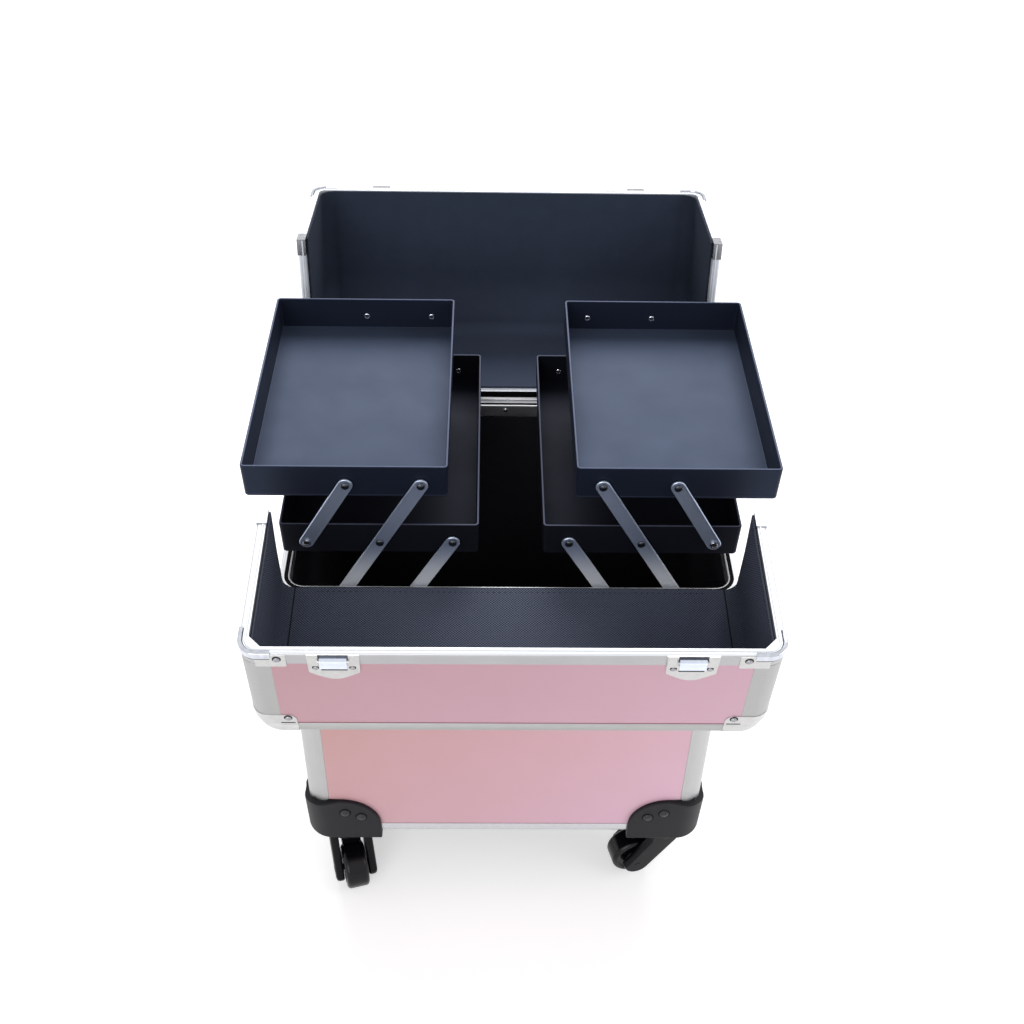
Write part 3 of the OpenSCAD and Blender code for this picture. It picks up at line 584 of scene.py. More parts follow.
# %% [markdown]
# Some solids are nearly right, and are copied. The loose triangles of a copy are joined to faces first,
# because a bevel needs clean edges. It may then be swollen a little, so that it stands proud of the
# boards that it grips, and its sharp edges are rounded.

# %% Copies of solids
CREASE, FLAT, SAME_PLACE, MOST_SHELL = math.radians(30), math.radians(0.5), 2e-6, 1.6


def copy_of(name):
    bm = bmesh.new()
    bm.from_mesh(nodes[name].data)
    bmesh.ops.remove_doubles(bm, verts=bm.verts, dist=SAME_PLACE)
    bmesh.ops.dissolve_limit(bm, angle_limit=FLAT, verts=bm.verts, edges=bm.edges)
    return bm


def swell(bm, out):
    bm.normal_update()
    for vert in bm.verts:
        vert.co += vert.normal * out * min(vert.calc_shell_factor(), MOST_SHELL)
    return bm


def ease(bm, width, segments=2):
    """Rounds every edge that is sharper than a crease."""
    sharp = [edge for edge in bm.edges if edge.is_manifold and edge.calc_face_angle() > CREASE]
    bmesh.ops.bevel(
        bm, geom=sharp, offset=width, segments=segments, profile=0.5, affect="EDGES", clamp_overlap=True,
    )
    return bm


# %% [markdown]
# ## Light and floor
# A broad soft light hangs above and behind, as in the photograph, where tray floors and top edges
# shine while the fronts stay even. Two weaker ones lift the fronts. Large lamps suit metal and gloss
# better than small ones, because their reflections are broad and soft.

# %% Soft lights
CASE_MIDDLE = Vector((0, 0, 0.4))


def soft_light(name, place, size, power):
    light = bpy.data.lights.new(name, "AREA")
    light.shape = "RECTANGLE"
    light.size, light.size_y = size
    light.energy = power
    lamp = linked(name, light)
    lamp.location = place
    lamp.rotation_mode = "QUATERNION"
    lamp.rotation_quaternion = (CASE_MIDDLE - Vector(place)).to_track_quat("-Z", "Y")
    print(f"{name}: {power} W at {place}")


soft_light("rear_softbox", (0.2, 2.3, 2.6), (3.2, 2.0), 95)
soft_light("front_softbox", (-1.0, -2.6, 1.7), (2.0, 2.0), 30)
soft_light("right_softbox", (2.4, -0.6, 1.8), (1.6, 1.6), 16)

# %% [markdown]
# The sky is white where it is looked at, directly or in a mirror, and weaker as a light. A single
# strength would either grey the background or wash out the shadows, so the kind of ray decides.

# %% Sky
SKY_LIGHT, SKY_SEEN = 0.42, 1.0
world = bpy.data.worlds.new("studio")
bpy.context.scene.world = world
world.use_nodes = True
sky = world.node_tree.nodes["Background"]
ray, seen, strength = (
    world.node_tree.nodes.new("ShaderNode" + kind) for kind in ("LightPath", "Math", "MapRange")
)
seen.operation = "MAXIMUM"
strength.inputs["To Min"].default_value = SKY_LIGHT
strength.inputs["To Max"].default_value = SKY_SEEN
for source, target in (
    (ray.outputs["Is Camera Ray"], seen.inputs[0]),
    (ray.outputs["Is Glossy Ray"], seen.inputs[1]),
    (seen.outputs[0], strength.inputs["Value"]),
    (strength.outputs[0], sky.inputs["Strength"]),
):
    world.node_tree.links.new(source, target)
sky.inputs["Color"].default_value = (1, 1, 1, 1)
bpy.context.scene.view_settings.view_transform = "Standard"
print("sky:", SKY_LIGHT, "as a light,", SKY_SEEN, "where it is seen")

# %% [markdown]
# The floor is plain white card, wide enough to have no edge in view. It glows a little where it is
# looked at, which keeps it white round the soft shadow under the casters.

# %% Floor
FLOOR_REACH, FLOOR_LIFT = 12.0, 0.45
floor_bm = bmesh.new()
bmesh.ops.create_grid(floor_bm, x_segments=1, y_segments=1, size=FLOOR_REACH)
floor = linked("floor", mesh_of("floor", floor_bm))
card = Finish(
    "white_card", base_color=(0.9, 0.9, 0.9, 1), roughness=0.9, specular_ior_level=0.0, emission_strength=1.0,
)
looked_at = card.add("LightPath") + card.add("LightPath", output="Is Glossy Ray")
card.show(Emission_Color=card.mix(looked_at, (0, 0, 0, 1), (FLOOR_LIFT, FLOOR_LIFT, FLOOR_LIFT, 1)))
floor.data.materials.append(card.material)
print("floor reaches", FLOOR_REACH, "m each way")

# %% [markdown]
# ## Panels that stay as they are
# A panel is a flat board held in the grooves of the frame, so its edges are out of sight. Its solid is
# already right and only takes its finish, and so do the pivots inside the box.

# %% Finishes on the solids
KEPT = {
    PINK: ("body_front_panel",),
    PLAIN_PINK: ("body_rear_panel", "body_side_panels"),
    SHADED_UPPER_PINK: ("flap_front_panel", "flap_top_panel", "flap_side_panels",
                 "lid_top_panel", "lid_rear_panel", "lid_side_panels"),
    BOARD: ("body_bottom_panel",),
    DARK_RIVET: ("arm_pivots",),
}
for finish, names in KEPT.items():
    for name in names:
        nodes[name].data.materials.clear()
        nodes[name].data.materials.append(finish)
    print(f"{finish.name}: {', '.join(names)}")

# %% [markdown]
# ## Rims
# Each opening is edged with an extruded profile: an outer flange with a step along it, a flat land on
# top with a tongue or a groove that meets the other half, and a flange inside. The section is drawn
# once, as (out, down) from the outer face and the edge, so that its fine lines run true all the way.

# %% Rim sections
LIP, FLANGE = 0.6, 10.8
TONGUE_LAND = (
    (-2.2, 0), (-2.35, 0.1), (-2.85, 0.1), (-3.0, -0.3), (-3.3, -0.6), (-4.2, -0.6), (-4.5, -0.3), (-4.6, 0),
)
GROOVE_LAND = ((-2.6, 0), (-2.6, 0.6), (-4.8, 0.6), (-4.8, 0))
BOX_LAND = ((-1.9, 0), (-2.0, 0.12), (-2.3, 0.12), (-2.4, 0), (-3.6, 0), (-3.7, 3.0), (-6.7, 3.0), (-6.8, 0))
LID_LINE = ((-6.0, 3.0), (-5.4, 3.1), (-5.4, 4.0), (-6.0, 4.1))


def rim_section(thickness, land, line=()):
    """Section of a rim, with the tongue or the groove of its land and a line along its inner flange."""
    return [
        (0, RIM_BAND + 0.3), (0, FLANGE + 0.1), (LIP - 0.25, FLANGE), (LIP - 0.25, 6.1), (LIP, 5.7),
        (LIP, 1.8), (LIP - 0.15, 1.1), (LIP - 0.5, 0.5), (LIP - 1.0, 0.13), (LIP - 1.7, 0), *land,
        (0.9 - thickness, 0), (0.25 - thickness, 0.25), (-thickness, 0.9), *line, (-thickness, RIM_BAND - 0.4),
        (0.4 - thickness, RIM_BAND), (0.4 - thickness, RIM_BAND + 0.4),
    ]


print("points of a rim's section:", len(rim_section(PANEL_T, TONGUE_LAND)))

# %% [markdown]
# The rims follow three outlines: over the arch where the two halves part, round the foot of one half,
# and round the whole box. A curve with a bevel object would sweep them too, but it may twist in a bend,
# so the rings are placed here and lofted.

# %% Outlines and sweep


def arch_outline():
    """Outline of the upper section across its width, from the left rim over the top to the right."""
    x, z = half_w - EDGE_R, UPPER_H - EDGE_R
    bends = arc((-x, z), EDGE_R, 2, 1) + arc((x, z), EDGE_R, 1, 0)
    return [((-half_w, RIM_GAP), (-1, 0)), *bends, ((half_w, RIM_GAP), (1, 0))]


def plan_outline(rear):
    """Outline of the front of the case from above, from the rear left round to the rear right."""
    bends = arc((-panel_x, CORNER_R), CORNER_R, 2, 3) + arc((panel_x, CORNER_R), CORNER_R, 3, 4)
    return [((-half_w, rear), (-1, 0)), *bends, ((half_w, rear), (1, 0))]


def whole_plan():
    """The full outline of the case from above."""
    near, far = CORNER_R, case_d - CORNER_R
    corners = ((-panel_x, near, 2), (panel_x, near, 3), (panel_x, far, 0), (-panel_x, far, 1))
    return [step for x, y, turn in corners for step in arc((x, y), CORNER_R, turn, turn + 1)]


def swept(outline, section, put, bm=None, closed=False):
    """Carries a section along an outline. put turns a point and a depth into a place."""
    rings = [
        [put(x + way_x * out, y + way_y * out, down) for out, down in section]
        for (x, y), (way_x, way_y) in outline
    ]
    if not closed:
        return loft(rings, bm)
    bm = loft([*rings, rings[0]], bm, caps=False)
    bmesh.ops.remove_doubles(bm, verts=bm.verts, dist=1e-5)
    return bm


print("steps over the arch:", len(arch_outline()), "and round the box:", len(whole_plan()))

# %% [markdown]
# A put function says where the edge of a rim lies. The halves meet each other at their split, and the
# box at their mate.

# %% Edges of the three rims


def flap_split(x, z, down):
    return (x, FLAP_EDGE - down, z)


def flap_mate(x, y, down):
    return (x, y, RIM_GAP + down)


def lid_split(x, z, down):
    return (x, LID_EDGE + down, z)


def lid_mate(x, y, down):
    return (x, case_d - y, RIM_GAP + down)


def box_mate(x, y, down):
    return (x, y, rim_z - down)


# %% [markdown]
# Each half has two runs of rim, over the arch and along its foot. On the flap a small gusset fills each
# far corner behind the land. The lid's rim has a groove where the flap's has a tongue.

# %% Rims of the flap and the lid
GUSSET, GUSSET_DOWN = 10.0, (0.3, 1.8)
front_rim = swept(arch_outline(), rim_section(PANEL_T, TONGUE_LAND), flap_split)
swept(plan_outline(FLAP_EDGE), rim_section(PANEL_T, TONGUE_LAND), flap_mate, front_rim)
for side in (-1, 1):
    x, z = side * (half_w - PANEL_T + 1), UPPER_H - PANEL_T + 1
    corner = [(x, z), (x - side * GUSSET, z), (x, z - GUSSET)]
    loft([[flap_split(*point, down) for point in corner] for down in GUSSET_DOWN], front_rim)
piece("flap_rim_profile", front_rim, IN_FLAP, ALUMINIUM, "flap", PROFILE, ["flap_rim"])
rear_rim = swept(arch_outline(), rim_section(PANEL_T, GROOVE_LAND), lid_split)
swept(plan_outline(case_d - LID_EDGE), rim_section(PANEL_T, TONGUE_LAND, LID_LINE), lid_mate, rear_rim)
piece("lid_rim_profile", rear_rim, IN_LID, HIGHLIT_ALUMINIUM, "lid", PROFILE, ["lid_rim"])

# %% [markdown]
# A near-black strip lies in the groove of the box's rim and darkens it, and another lies along the lid's
# edge that comes down on it. Both are separate pieces, because they and the metal need sharp borders
# between their finishes.

# %% Rim and dark strips of the box
GROOVE_STRIP = ((-3.65, 0.15), (-3.7, 1.2), (-6.7, 1.2), (-6.75, 0.15))
STRIP_Y, STRIP_Z = (case_d - 5.9, case_d - 0.3), (RIM_GAP - 0.8, RIM_GAP + 0.5)
box_rim = swept(whole_plan(), rim_section(WALL, BOX_LAND), box_mate, closed=True)
piece("box_rim_profile", box_rim, IN_BOX, LAND_ALUMINIUM, "case", PROFILE, ["body_rim"])
groove_strip = swept(whole_plan(), GROOVE_STRIP, box_mate, closed=True)
piece("box_rim_gasket", groove_strip, IN_BOX, NEAR_BLACK, "case", PLASTIC)
piece("lid_seal", slab(-panel_x, panel_x, *STRIP_Y, *STRIP_Z), IN_LID, NEAR_BLACK, "lid", PLASTIC)

# %% [markdown]
# The base trim is the same kind of profile, swept round the foot. Its lower edge is well rounded, so
# the section follows the curve with five short runs.

# %% Base trim
BASE_SECTION = (
    (0.45, 15.8), (0.45, 10), (-0.1, 6.6), (-1.5, 3.6), (-4, 1.3), (-7, 0.3), (-10, 0), (-10, 2), (-6.2, 15.8),
)
base_trim = swept(whole_plan(), BASE_SECTION, lambda x, y, up: (x, y, base_z + up), closed=True)
piece("box_base_trim", base_trim, IN_BOX, DULL, "case", PROFILE, ["body_base_trim"])

# %% [markdown]
# ## Corner posts and edge profiles
# The other profiles are plain rounded angles that grip the panels. An eased copy of each solid,
# swollen by half a millimetre, stands a little proud of the boards and throws a fine shadow line there.
# The upper edges look fuller than a plain arc, so their points are moved out to a smaller radius.

# %% Posts and edge profiles
PROUD, EASE = 0.45 * MM, 0.5 * MM
FULL_R = 7.0


def fuller(bm, place, rear):
    """Fills the rounded top edge of a half out to a smaller radius, in the place of the closed case."""
    bm.transform(place.inverted())
    shift = EDGE_R - FULL_R
    for vert in bm.verts:
        back = (case_d - vert.co.y if rear else vert.co.y) - EDGE_R
        rise = vert.co.z - (UPPER_H - EDGE_R)
        if back < 0 < rise:
            length = math.hypot(back, rise)
            out, up = -back / length, rise / length
            middle = (out + up) * shift
            reach = middle + math.sqrt(max(middle * middle - 2 * shift * shift + FULL_R * FULL_R, 0))
            reach = min(reach, EDGE_R / max(up, 1e-6), EDGE_R / max(out, 1e-6))
            vert.co.z += rise * (reach / EDGE_R - 1)
            vert.co.y += (-1 if rear else 1) * back * (reach / EDGE_R - 1)
    bm.transform(place)
    return bm


posts = ease(swell(copy_of("body_corner_posts"), PROUD), EASE)
piece("box_corner_posts", posts, IN_FRAME, UPRIGHT_ALUMINIUM, "case", PROFILE, ["body_corner_posts"])
for half, place in (("flap", IN_FLAP), ("lid", IN_LID)):
    node = f"{half}_edge_profiles"
    profiles = fuller(swell(copy_of(node), PROUD), place, half == "lid")
    piece(f"{half}_edge_trim", ease(profiles, EASE), IN_FRAME, EDGE_ALUMINIUM, half, PROFILE, [node])

# %% [markdown]
# The laminate of the front is a thin skin over its board, and reaches under the edges of the frame.
# A thin dark pink strip along its lower edge is a painted shadow, the dark line under the trim. A skin
# of its own keeps the board plain.

# %% Front skin
SKIN_X, SKIN_LOW, SKIN_OUT, SKIN_IN, SHADOW_LINE_H, SHADOW_LINE_OUT = panel_x + 0.6, 13.9, 0.16, 0.4, 0.5, 0.5
skin = slab(-SKIN_X, SKIN_X, SKIN_LOW, FLAP_EDGE - FLANGE, UPPER_H - SKIN_IN, UPPER_H + SKIN_OUT)
piece("flap_front_skin", skin, IN_FLAP, SHADED_UPPER_PINK, "flap", "pink_panel")
# Painted shadow: a thin dark strip along the lower edge of the skin.
fold = slab(-SKIN_X, SKIN_X, SKIN_LOW - SHADOW_LINE_H, SKIN_LOW, UPPER_H - SKIN_IN, UPPER_H + SHADOW_LINE_OUT)
piece("flap_front_fold", fold, IN_FLAP, PINK_SHADOW_LINE, "flap", "pink_panel")

# %% [markdown]
# ## Pressed fittings
# Hinges, catches and the handle's parts are simple pressings and tubes. Eased copies of their solids
# are enough: it is the small radius along each edge that catches the light.

# %% Eased fittings
for name, node, width, finish, body, slot in (
    ("front_hinge_leaf", "front_hinge", 0.2, DULL, "case", STEEL),
    ("rear_hinge_leaf", "rear_hinge", 0.2, DULL, "case", STEEL),
    ("flap_hinge_plate", "flap_hinge_leaf", 0.2, DULL, "flap", STEEL),
    ("lid_hinge_plate", "lid_hinge_leaf", 0.2, DULL, "lid", STEEL),
    ("lid_catches", "latch_catches", 0.3, RIVET, "lid", STEEL),
    ("handle_tube_pair", "handle_tubes", 0.3, UPRIGHT_ALUMINIUM, "case", PROFILE),
    ("handle_rod_pair", "handle_rods", 0.3, UPRIGHT_ALUMINIUM, "handle", PROFILE),
    ("handle_bracket_pair", "handle_brackets", 1.2, BLACK, "case", PLASTIC),
    ("handle_grip_bar", "handle_grip", 1.0, BLACK, "handle", PLASTIC),
    ("handle_push_button", "handle_button", 0.8, BUTTON, "handle_button", "button"),
):
    piece(name, ease(copy_of(node), width * MM), IN_FRAME, finish, body, slot, [node])

# %% [markdown]
# ## Corner fittings
# A flat plate holds each upper corner and a ball cap each lower one. The solids of the caps are laid
# back in the closed case, where an ear is easy to find by its place, and its corner is rounded there.
# Drawing the caps anew would only repeat the solid's ball.

# %% Corner plates and caps
PLATE_END, PLATE_IN, PLATE_H, PLATE_CORNER = half_w - 31.0, 10.5, 13.5, 1.2
PLATE_UNDER, PLATE_OUT, PLATE_GAP = 0.2, 0.9, 0.9
CAD_EAR, EAR_TOP, EAR_ROUND, EAR_FROM, EAR_TO = CORNER_R, 23.4, 6.0, 15, 30
FRONT_TO_REAR = Matrix.Translation((0, case_d, 0)) @ Matrix.Diagonal((1, -1, 1, 1))


def corner_fittings(name, node, place, rear, body):
    """Plates and caps of one half, with the ears drawn up and their free corners rounded."""
    bm = fuller(copy_of(node), place, rear)
    bm.transform(place.inverted())
    edge = case_d - LID_EDGE if rear else FLAP_EDGE
    if rear:
        bm.transform(FRONT_TO_REAR)
    bmesh.ops.delete(bm, geom=[vert for vert in bm.verts if vert.co.y > 2 * CAD_EAR], context="VERTS")
    for vert in bm.verts:
        if EAR_FROM < vert.co.y < EAR_TO:
            vert.co.y += EAR_TOP - CAD_EAR
    free = [
        line for line in bm.edges
        if all(abs(abs(vert.co.x) - PLATE_END) < 0.1 and abs(vert.co.y - EAR_TOP) < 0.1 for vert in line.verts)
    ]
    bmesh.ops.bevel(bm, geom=free, offset=EAR_ROUND, segments=6, profile=0.5, affect="EDGES")
    low, high = edge - PLATE_H, edge - PLATE_GAP
    for side in (-1, 1):
        outer, inner = side * (half_w - PLATE_IN), side * PLATE_END
        corner = [(inner + side * PLATE_CORNER, low), (inner, low + PLATE_CORNER)]
        outline = [(outer, high), (outer, low), *corner, (inner, high)]
        bar_of(outline, UPPER_H - PLATE_UNDER, UPPER_H + PLATE_OUT, bm)
    if rear:
        bm.transform(FRONT_TO_REAR)
    piece(name, ease(bm, width=0.25), place, PLATE, body, STEEL, [node])


corner_fittings("flap_corner_fittings", "flap_corner_plates", IN_FLAP, False, "flap")
corner_fittings("lid_corner_fittings", "lid_corner_plates", IN_LID, True, "lid")

# %% [markdown]
# Bright clips go round the corners of the rims, and small caps close the rims' ends. A clip is a bent
# strip, so its section is swept round the corner. A painted shadow under its lower edge and painted
# shade in the slot at its inner edge are swept too, because such thin gaps would be lost in the shading.

# %% Clips and ends of the rims
CLIP_SECTION = (
    (0.65, 4.4), (1.5, 4.2), (1.5, 0.2), (1.2, -0.5), (0.6, -0.9), (-1.4, -0.9), (-1.6, -0.05), (0.6, -0.05),
)
CLIP_SHADOW = ((0.3, 4.3), (1.15, 4.3), (1.1, 5.5), (0.3, 5.6))
CLIP_SLOT_SHADE = ((-1.65, -0.2), (-1.55, 0.3), (-2.2, 0.3), (-2.1, -0.2))
CLIP_REACH, LINE_SLACK = 21.0, 0.5
END_UP, END_DOWN = (RIM_GAP - 0.5, RIM_GAP + 13), (-0.9, 13.5)


def round_corners(section, put, slack=0.0):
    """A section carried round the two far corners of a rim."""
    bm = bmesh.new()
    reach = CLIP_REACH - slack
    corner = arc((half_w - EDGE_R, UPPER_H - EDGE_R), EDGE_R, 0, 1)
    path = [((half_w, UPPER_H - reach), (1, 0)), *corner, ((half_w - reach, UPPER_H), (0, 1))]
    for side in (-1, 1):
        swept([((side * x, z), (side * way_x, way_z)) for (x, z), (way_x, way_z) in path], section, put, bm)
    return bm


def rim_ends(put):
    """Caps over the two ends of a rim."""
    bm = bmesh.new()
    low, high = END_UP
    for side in (-1, 1):
        near, far = sorted((side * (half_w + 1.0), side * (half_w - PANEL_T - 0.4)))
        outline = [(near, low), (far, low), (far, high), (near, high)]
        loft([[put(x, z, down) for x, z in outline] for down in END_DOWN], bm)
    return ease(bm, width=0.7, segments=3)


for half, place, put in (("flap", IN_FLAP, flap_split), ("lid", IN_LID, lid_split)):
    piece(f"{half}_rim_clips", round_corners(CLIP_SECTION, put), place, CHROME, half, STEEL)
    piece(f"{half}_rim_ends", rim_ends(put), place, RIVET, half, STEEL)
    # Painted shadow under each clip and painted shade in its slot, as dark strips.
    lines = joined(*[round_corners(section, put, LINE_SLACK) for section in (CLIP_SHADOW, CLIP_SLOT_SHADE)])
    piece(f"{half}_rim_clip_lines", lines, place, DARK_RIVET, half, STEEL)

# %% [markdown]
# A narrow slit is punched through the ear of each cap on the flap. A dark strip of painted shade that
# lies nearly flush shows it.

# %% Slits of the caps
SLIT_X, SLIT_Y, SLIT_Z = (half_w - 19.5, PLATE_END + 1.5), (13.9, 14.9), (UPPER_H + 0.5, UPPER_H + 0.97)
slit_shade = bmesh.new()
for side in (-1, 1):
    slab(*sorted(side * x for x in SLIT_X), *SLIT_Y, *SLIT_Z, slit_shade)
piece("flap_cap_slits", slit_shade, IN_FLAP, SHADE, "flap", STEEL)

# %% [markdown]
# ## Caster brackets
# The brackets wrap the lower corners. Their solid has level upper edges, and here the edge sinks round
# the corner to a lower side wing and the corner bulges a little, as on the moulded part. Moving the
# points of a copy does both, and keeps the rest of the solid as it is.

# %% Caster brackets
DIP, BULGE, DIP_NEAR, DIP_FAR = 6.0, 2.0, 2.0, 26.0
SIDE_DROP, SIDE_FROM, SIDE_RUN = 13.0, 2, 16
WING_FOOT, WING_H, SLANT = 20.0, 53.0, 0.7


def part_of(value):
    return min(max(value, 0), 1)


brackets = copy_of("caster_brackets")
brackets.transform(IN_BOX.inverted())
for vert in brackets.verts:
    x, y, z = vert.co
    aside, ahead = half_w - abs(x), min(y, case_d - y)
    share = part_of((aside + ahead - DIP_NEAR) / (DIP_FAR - DIP_NEAR))
    share = 1 - share * share * (3 - 2 * share)
    drop = DIP * share if aside > ahead else DIP + (SIDE_DROP - DIP) * part_of((ahead - SIDE_FROM) / SIDE_RUN)
    vert.co.z -= drop * max(z - base_z - WING_FOOT, 0) / (WING_H - WING_FOOT)
    if math.hypot(CORNER_R - aside, CORNER_R - ahead) > CORNER_R + 1 and z > base_z - 1:
        vert.co.x += math.copysign(BULGE * share * SLANT, x)
        vert.co.y += BULGE * share * (-SLANT if y < case_d / 2 else SLANT)
piece("caster_corner_brackets", ease(brackets, width=1.2), IN_BOX, BLACK, "case", PLASTIC, ["caster_brackets"])

# %% [markdown]
# ## Casters
# A fork is moulded: its legs are lofted through outlines that draw in towards both faces, which rounds
# them more than a bevel on the solid could, and a web follows the wheel under the head. It is drawn
# with its wheel trailing straight back and turned afterwards.

# %% Shape of a fork
LEG_IN, LEG_OUT, LEG_END = 12, 20, 13
LEG_BACK, LEG_FRONT, LEG_TURN, LEG_CORNER = 16, 15, 143 / 90, 4
LEG_FACES = (
    (LEG_IN, 1.6), (LEG_IN + 0.5, 0.6), (LEG_IN + 1.6, 0), (LEG_OUT - 3, 0), (LEG_OUT - 1, 0.9), (LEG_OUT, 3),
)
HEAD_R, HEAD_FOOT, HEAD_TOP, STEM_R = 20.5, 55.6, 67.6, 5
AXLE_R, AXLE_OUT, AXLE_STEPS = 3, 0.3, 24
WEB_HALF, WEB_GAP, WEB_FROM, WEB_TO = 9, 1.2, 153 / 90, 117 / 90


def leg_outline(inset, axle):
    """A leg from the side: round below the axle, and straight up to the head."""
    back, front, top = LEG_BACK - inset, inset - LEG_FRONT, HEAD_TOP - inset
    return bend(axle, LEG_END - inset, -LEG_TURN, 0, 12) + [
        (back, HEAD_FOOT), (back, top - LEG_CORNER), (back - LEG_CORNER, top),
        (front + LEG_CORNER, top), (front, top - LEG_CORNER), (front, HEAD_FOOT),
    ]


def fork_shape(axle, stem_top):
    """A fork whose wheel trails along -y, with its axle at (trail, height)."""
    head = lathe((
        (HEAD_R - 2, HEAD_FOOT), (HEAD_R - 0.5, HEAD_FOOT + 0.7), (HEAD_R, HEAD_FOOT + 2),
        (HEAD_R, HEAD_TOP - 1), (HEAD_R - 1, HEAD_TOP), (STEM_R, HEAD_TOP), (STEM_R, stem_top),
    ))
    legs = [
        loft([[(side * x, -back, z) for back, z in leg_outline(inset, axle)] for x, inset in LEG_FACES])
        for side in (-1, 1)
    ]
    web = bend(axle, axle[1] + WEB_GAP, WEB_FROM, WEB_TO, 12) + [
        (LEG_BACK - 1, HEAD_FOOT + 2), (3 - LEG_FRONT, HEAD_FOOT + 2), (3 - LEG_FRONT, HEAD_FOOT - 2),
    ]
    pin = bend(axle, AXLE_R, 0, 4, AXLE_STEPS)[:-1]
    bars = [
        bar_of([(-back, z) for back, z in line], -half, half, axes=(1, 2, 0))
        for line, half in ((web, WEB_HALF), (pin, LEG_OUT + AXLE_OUT))
    ]
    return joined(head, *legs, *bars)


# %% [markdown]
# Each fork takes its heading from the solid: the stem is the highest part of the fork, and the axle is
# in the middle of the wheel. The wheels are copies with eased edges.

# %% Casters
for corner in ("front_left", "front_right", "rear_left", "rear_right"):
    fork, wheel = f"caster_fork_{corner}", f"caster_wheel_{corner}"
    points = [vert.co for vert in nodes[fork].data.vertices]
    stem_top = max(point.z for point in points)
    stem = [point for point in points if point.z > stem_top - 0.01 * MM]
    swivel = Vector([(min(p[i] for p in stem) + max(p[i] for p in stem)) / 2 for i in (0, 1)])
    axle = sum(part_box(wheel), Vector()) / 2
    trail = axle.xy - swivel
    shape = fork_shape((trail.length / MM, axle.z / MM), stem_top / MM)
    turned = Matrix.Translation((*swivel, 0)) @ Matrix.Rotation(math.atan2(trail.x, -trail.y), 4, "Z")
    piece(f"fork_{corner}", shape, turned @ IN_MM, FORK, fork, PLASTIC, [fork])
    piece(f"wheel_{corner}", ease(copy_of(wheel), width=0.8 * MM), IN_FRAME, WHEEL, wheel, "wheel", [wheel])
    print(f"{corner} caster: trail {trail.length / MM:.1f} mm, stem up to {stem_top / MM:.1f} mm")

# %% [markdown]
# ## Trays
# A tray is a thin moulded shell: slightly drawn-in sides, a rounded rim and a small fillet round the
# floor. Rings of one rounded rectangle, each with its own inset, height and corner, give all of it,
# where a bevelled copy of the solid would round every edge alike.

# %% Trays
TRAY_SECTION = (
    (2.6, 0.0, 1.6), (1.3, 0.3, 2.4), (0.7, 1.2, 2.8), (0.0, 28.3, 3.0), (0.12, 28.75, 3.0), (0.4, 29.0, 2.8),
    (1.5, 29.0, 2.0), (1.8, 28.75, 1.7), (1.9, 28.3, 1.6), (2.5, 2.7, 1.6), (2.7, 2.2, 1.5), (3.2, 2.0, 1.4),
)
RIVET_OUT = 4.0
TRAYS = ("lower_tray_left", "upper_tray_left", "lower_tray_right", "upper_tray_right")


def tray_place(node):
    """Middle of a tray's underside, and its width and depth without its rivets."""
    low, high = (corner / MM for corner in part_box(node))
    middle = (low + high) / 2
    return Vector((middle.x, middle.y, low.z)), high.x - low.x, high.y - low.y - 2 * RIVET_OUT


for node in TRAYS:
    foot, width, depth = tray_place(node)
    shell = loft([
        [(x, y, height) for x, y in rounded_ring(width - 2 * inset, depth - 2 * inset, radius)]
        for inset, height, radius in TRAY_SECTION
    ])
    finish = SHADED_LOWER_TRAY if node.startswith("lower") else TRAY
    name = node.replace("tray", "tray_shell")
    piece(name, shell, IN_MM @ Matrix.Translation(foot), finish, node, "tray_plastic", [node])

# %% [markdown]
# ## Arms
# The arms are strips with round ends, pressed so that a narrow border stands up round a flat middle.
# Each node holds a front strip and its twin at the rear. A strip is drawn upright from its lower pivot
# and then leaned over, so one outline with several insets makes both lengths.

# %% Arms
ARM_L, ARM_W, ARM_Y = 65.0, 11.0, 10.4
ARM_RINGS = ((1.7, 0.28), (1.35, 0.0), (0.45, 0.0), (0.0, 0.4), (0.0, 1.6), (0.4, 2.0))


def strip_ring(length, inset):
    radius = ARM_W / 2 - inset
    return bend((0, 0), radius, 2, 4, 10) + bend((0, length), radius, 0, 2, 10)


def arms(node, joint, side, length):
    bm = bmesh.new()
    for rear in (False, True):
        loft([
            [(x, case_d - ARM_Y - depth if rear else ARM_Y + depth, z) for x, z in strip_ring(length, inset)]
            for inset, depth in ARM_RINGS
        ], bm)
    pivot = Vector(joints[joint]["pos_m"])
    place = Matrix.Translation((pivot.x, front_y * MM, pivot.z)) @ Matrix.Rotation(-side * ARM_LEAN, 4, "Y")
    finish = ARM_LEFT if side < 0 else ARM_RIGHT
    piece(f"{node}_strips", bm, place @ IN_MM, finish, node, ARM_METAL, [node])


for side, hand in ((-1, "left"), (1, "right")):
    arms(f"long_arms_{hand}", f"{hand}_trays_fold", side, 2 * ARM_L)
    for links in (f"lower_links_{hand}", f"upper_links_{hand}"):
        arms(links, f"{links}_pivot", side, ARM_L)

# %% [markdown]
# ## Rivets
# Every rivet head and stitch is one of a few shapes, set on points that know which way they face and
# run. A Geometry Nodes tree stands the shape up on its point, turns it along and sets it there. One
# tree serves all of them, so a change to it reaches every fastener.

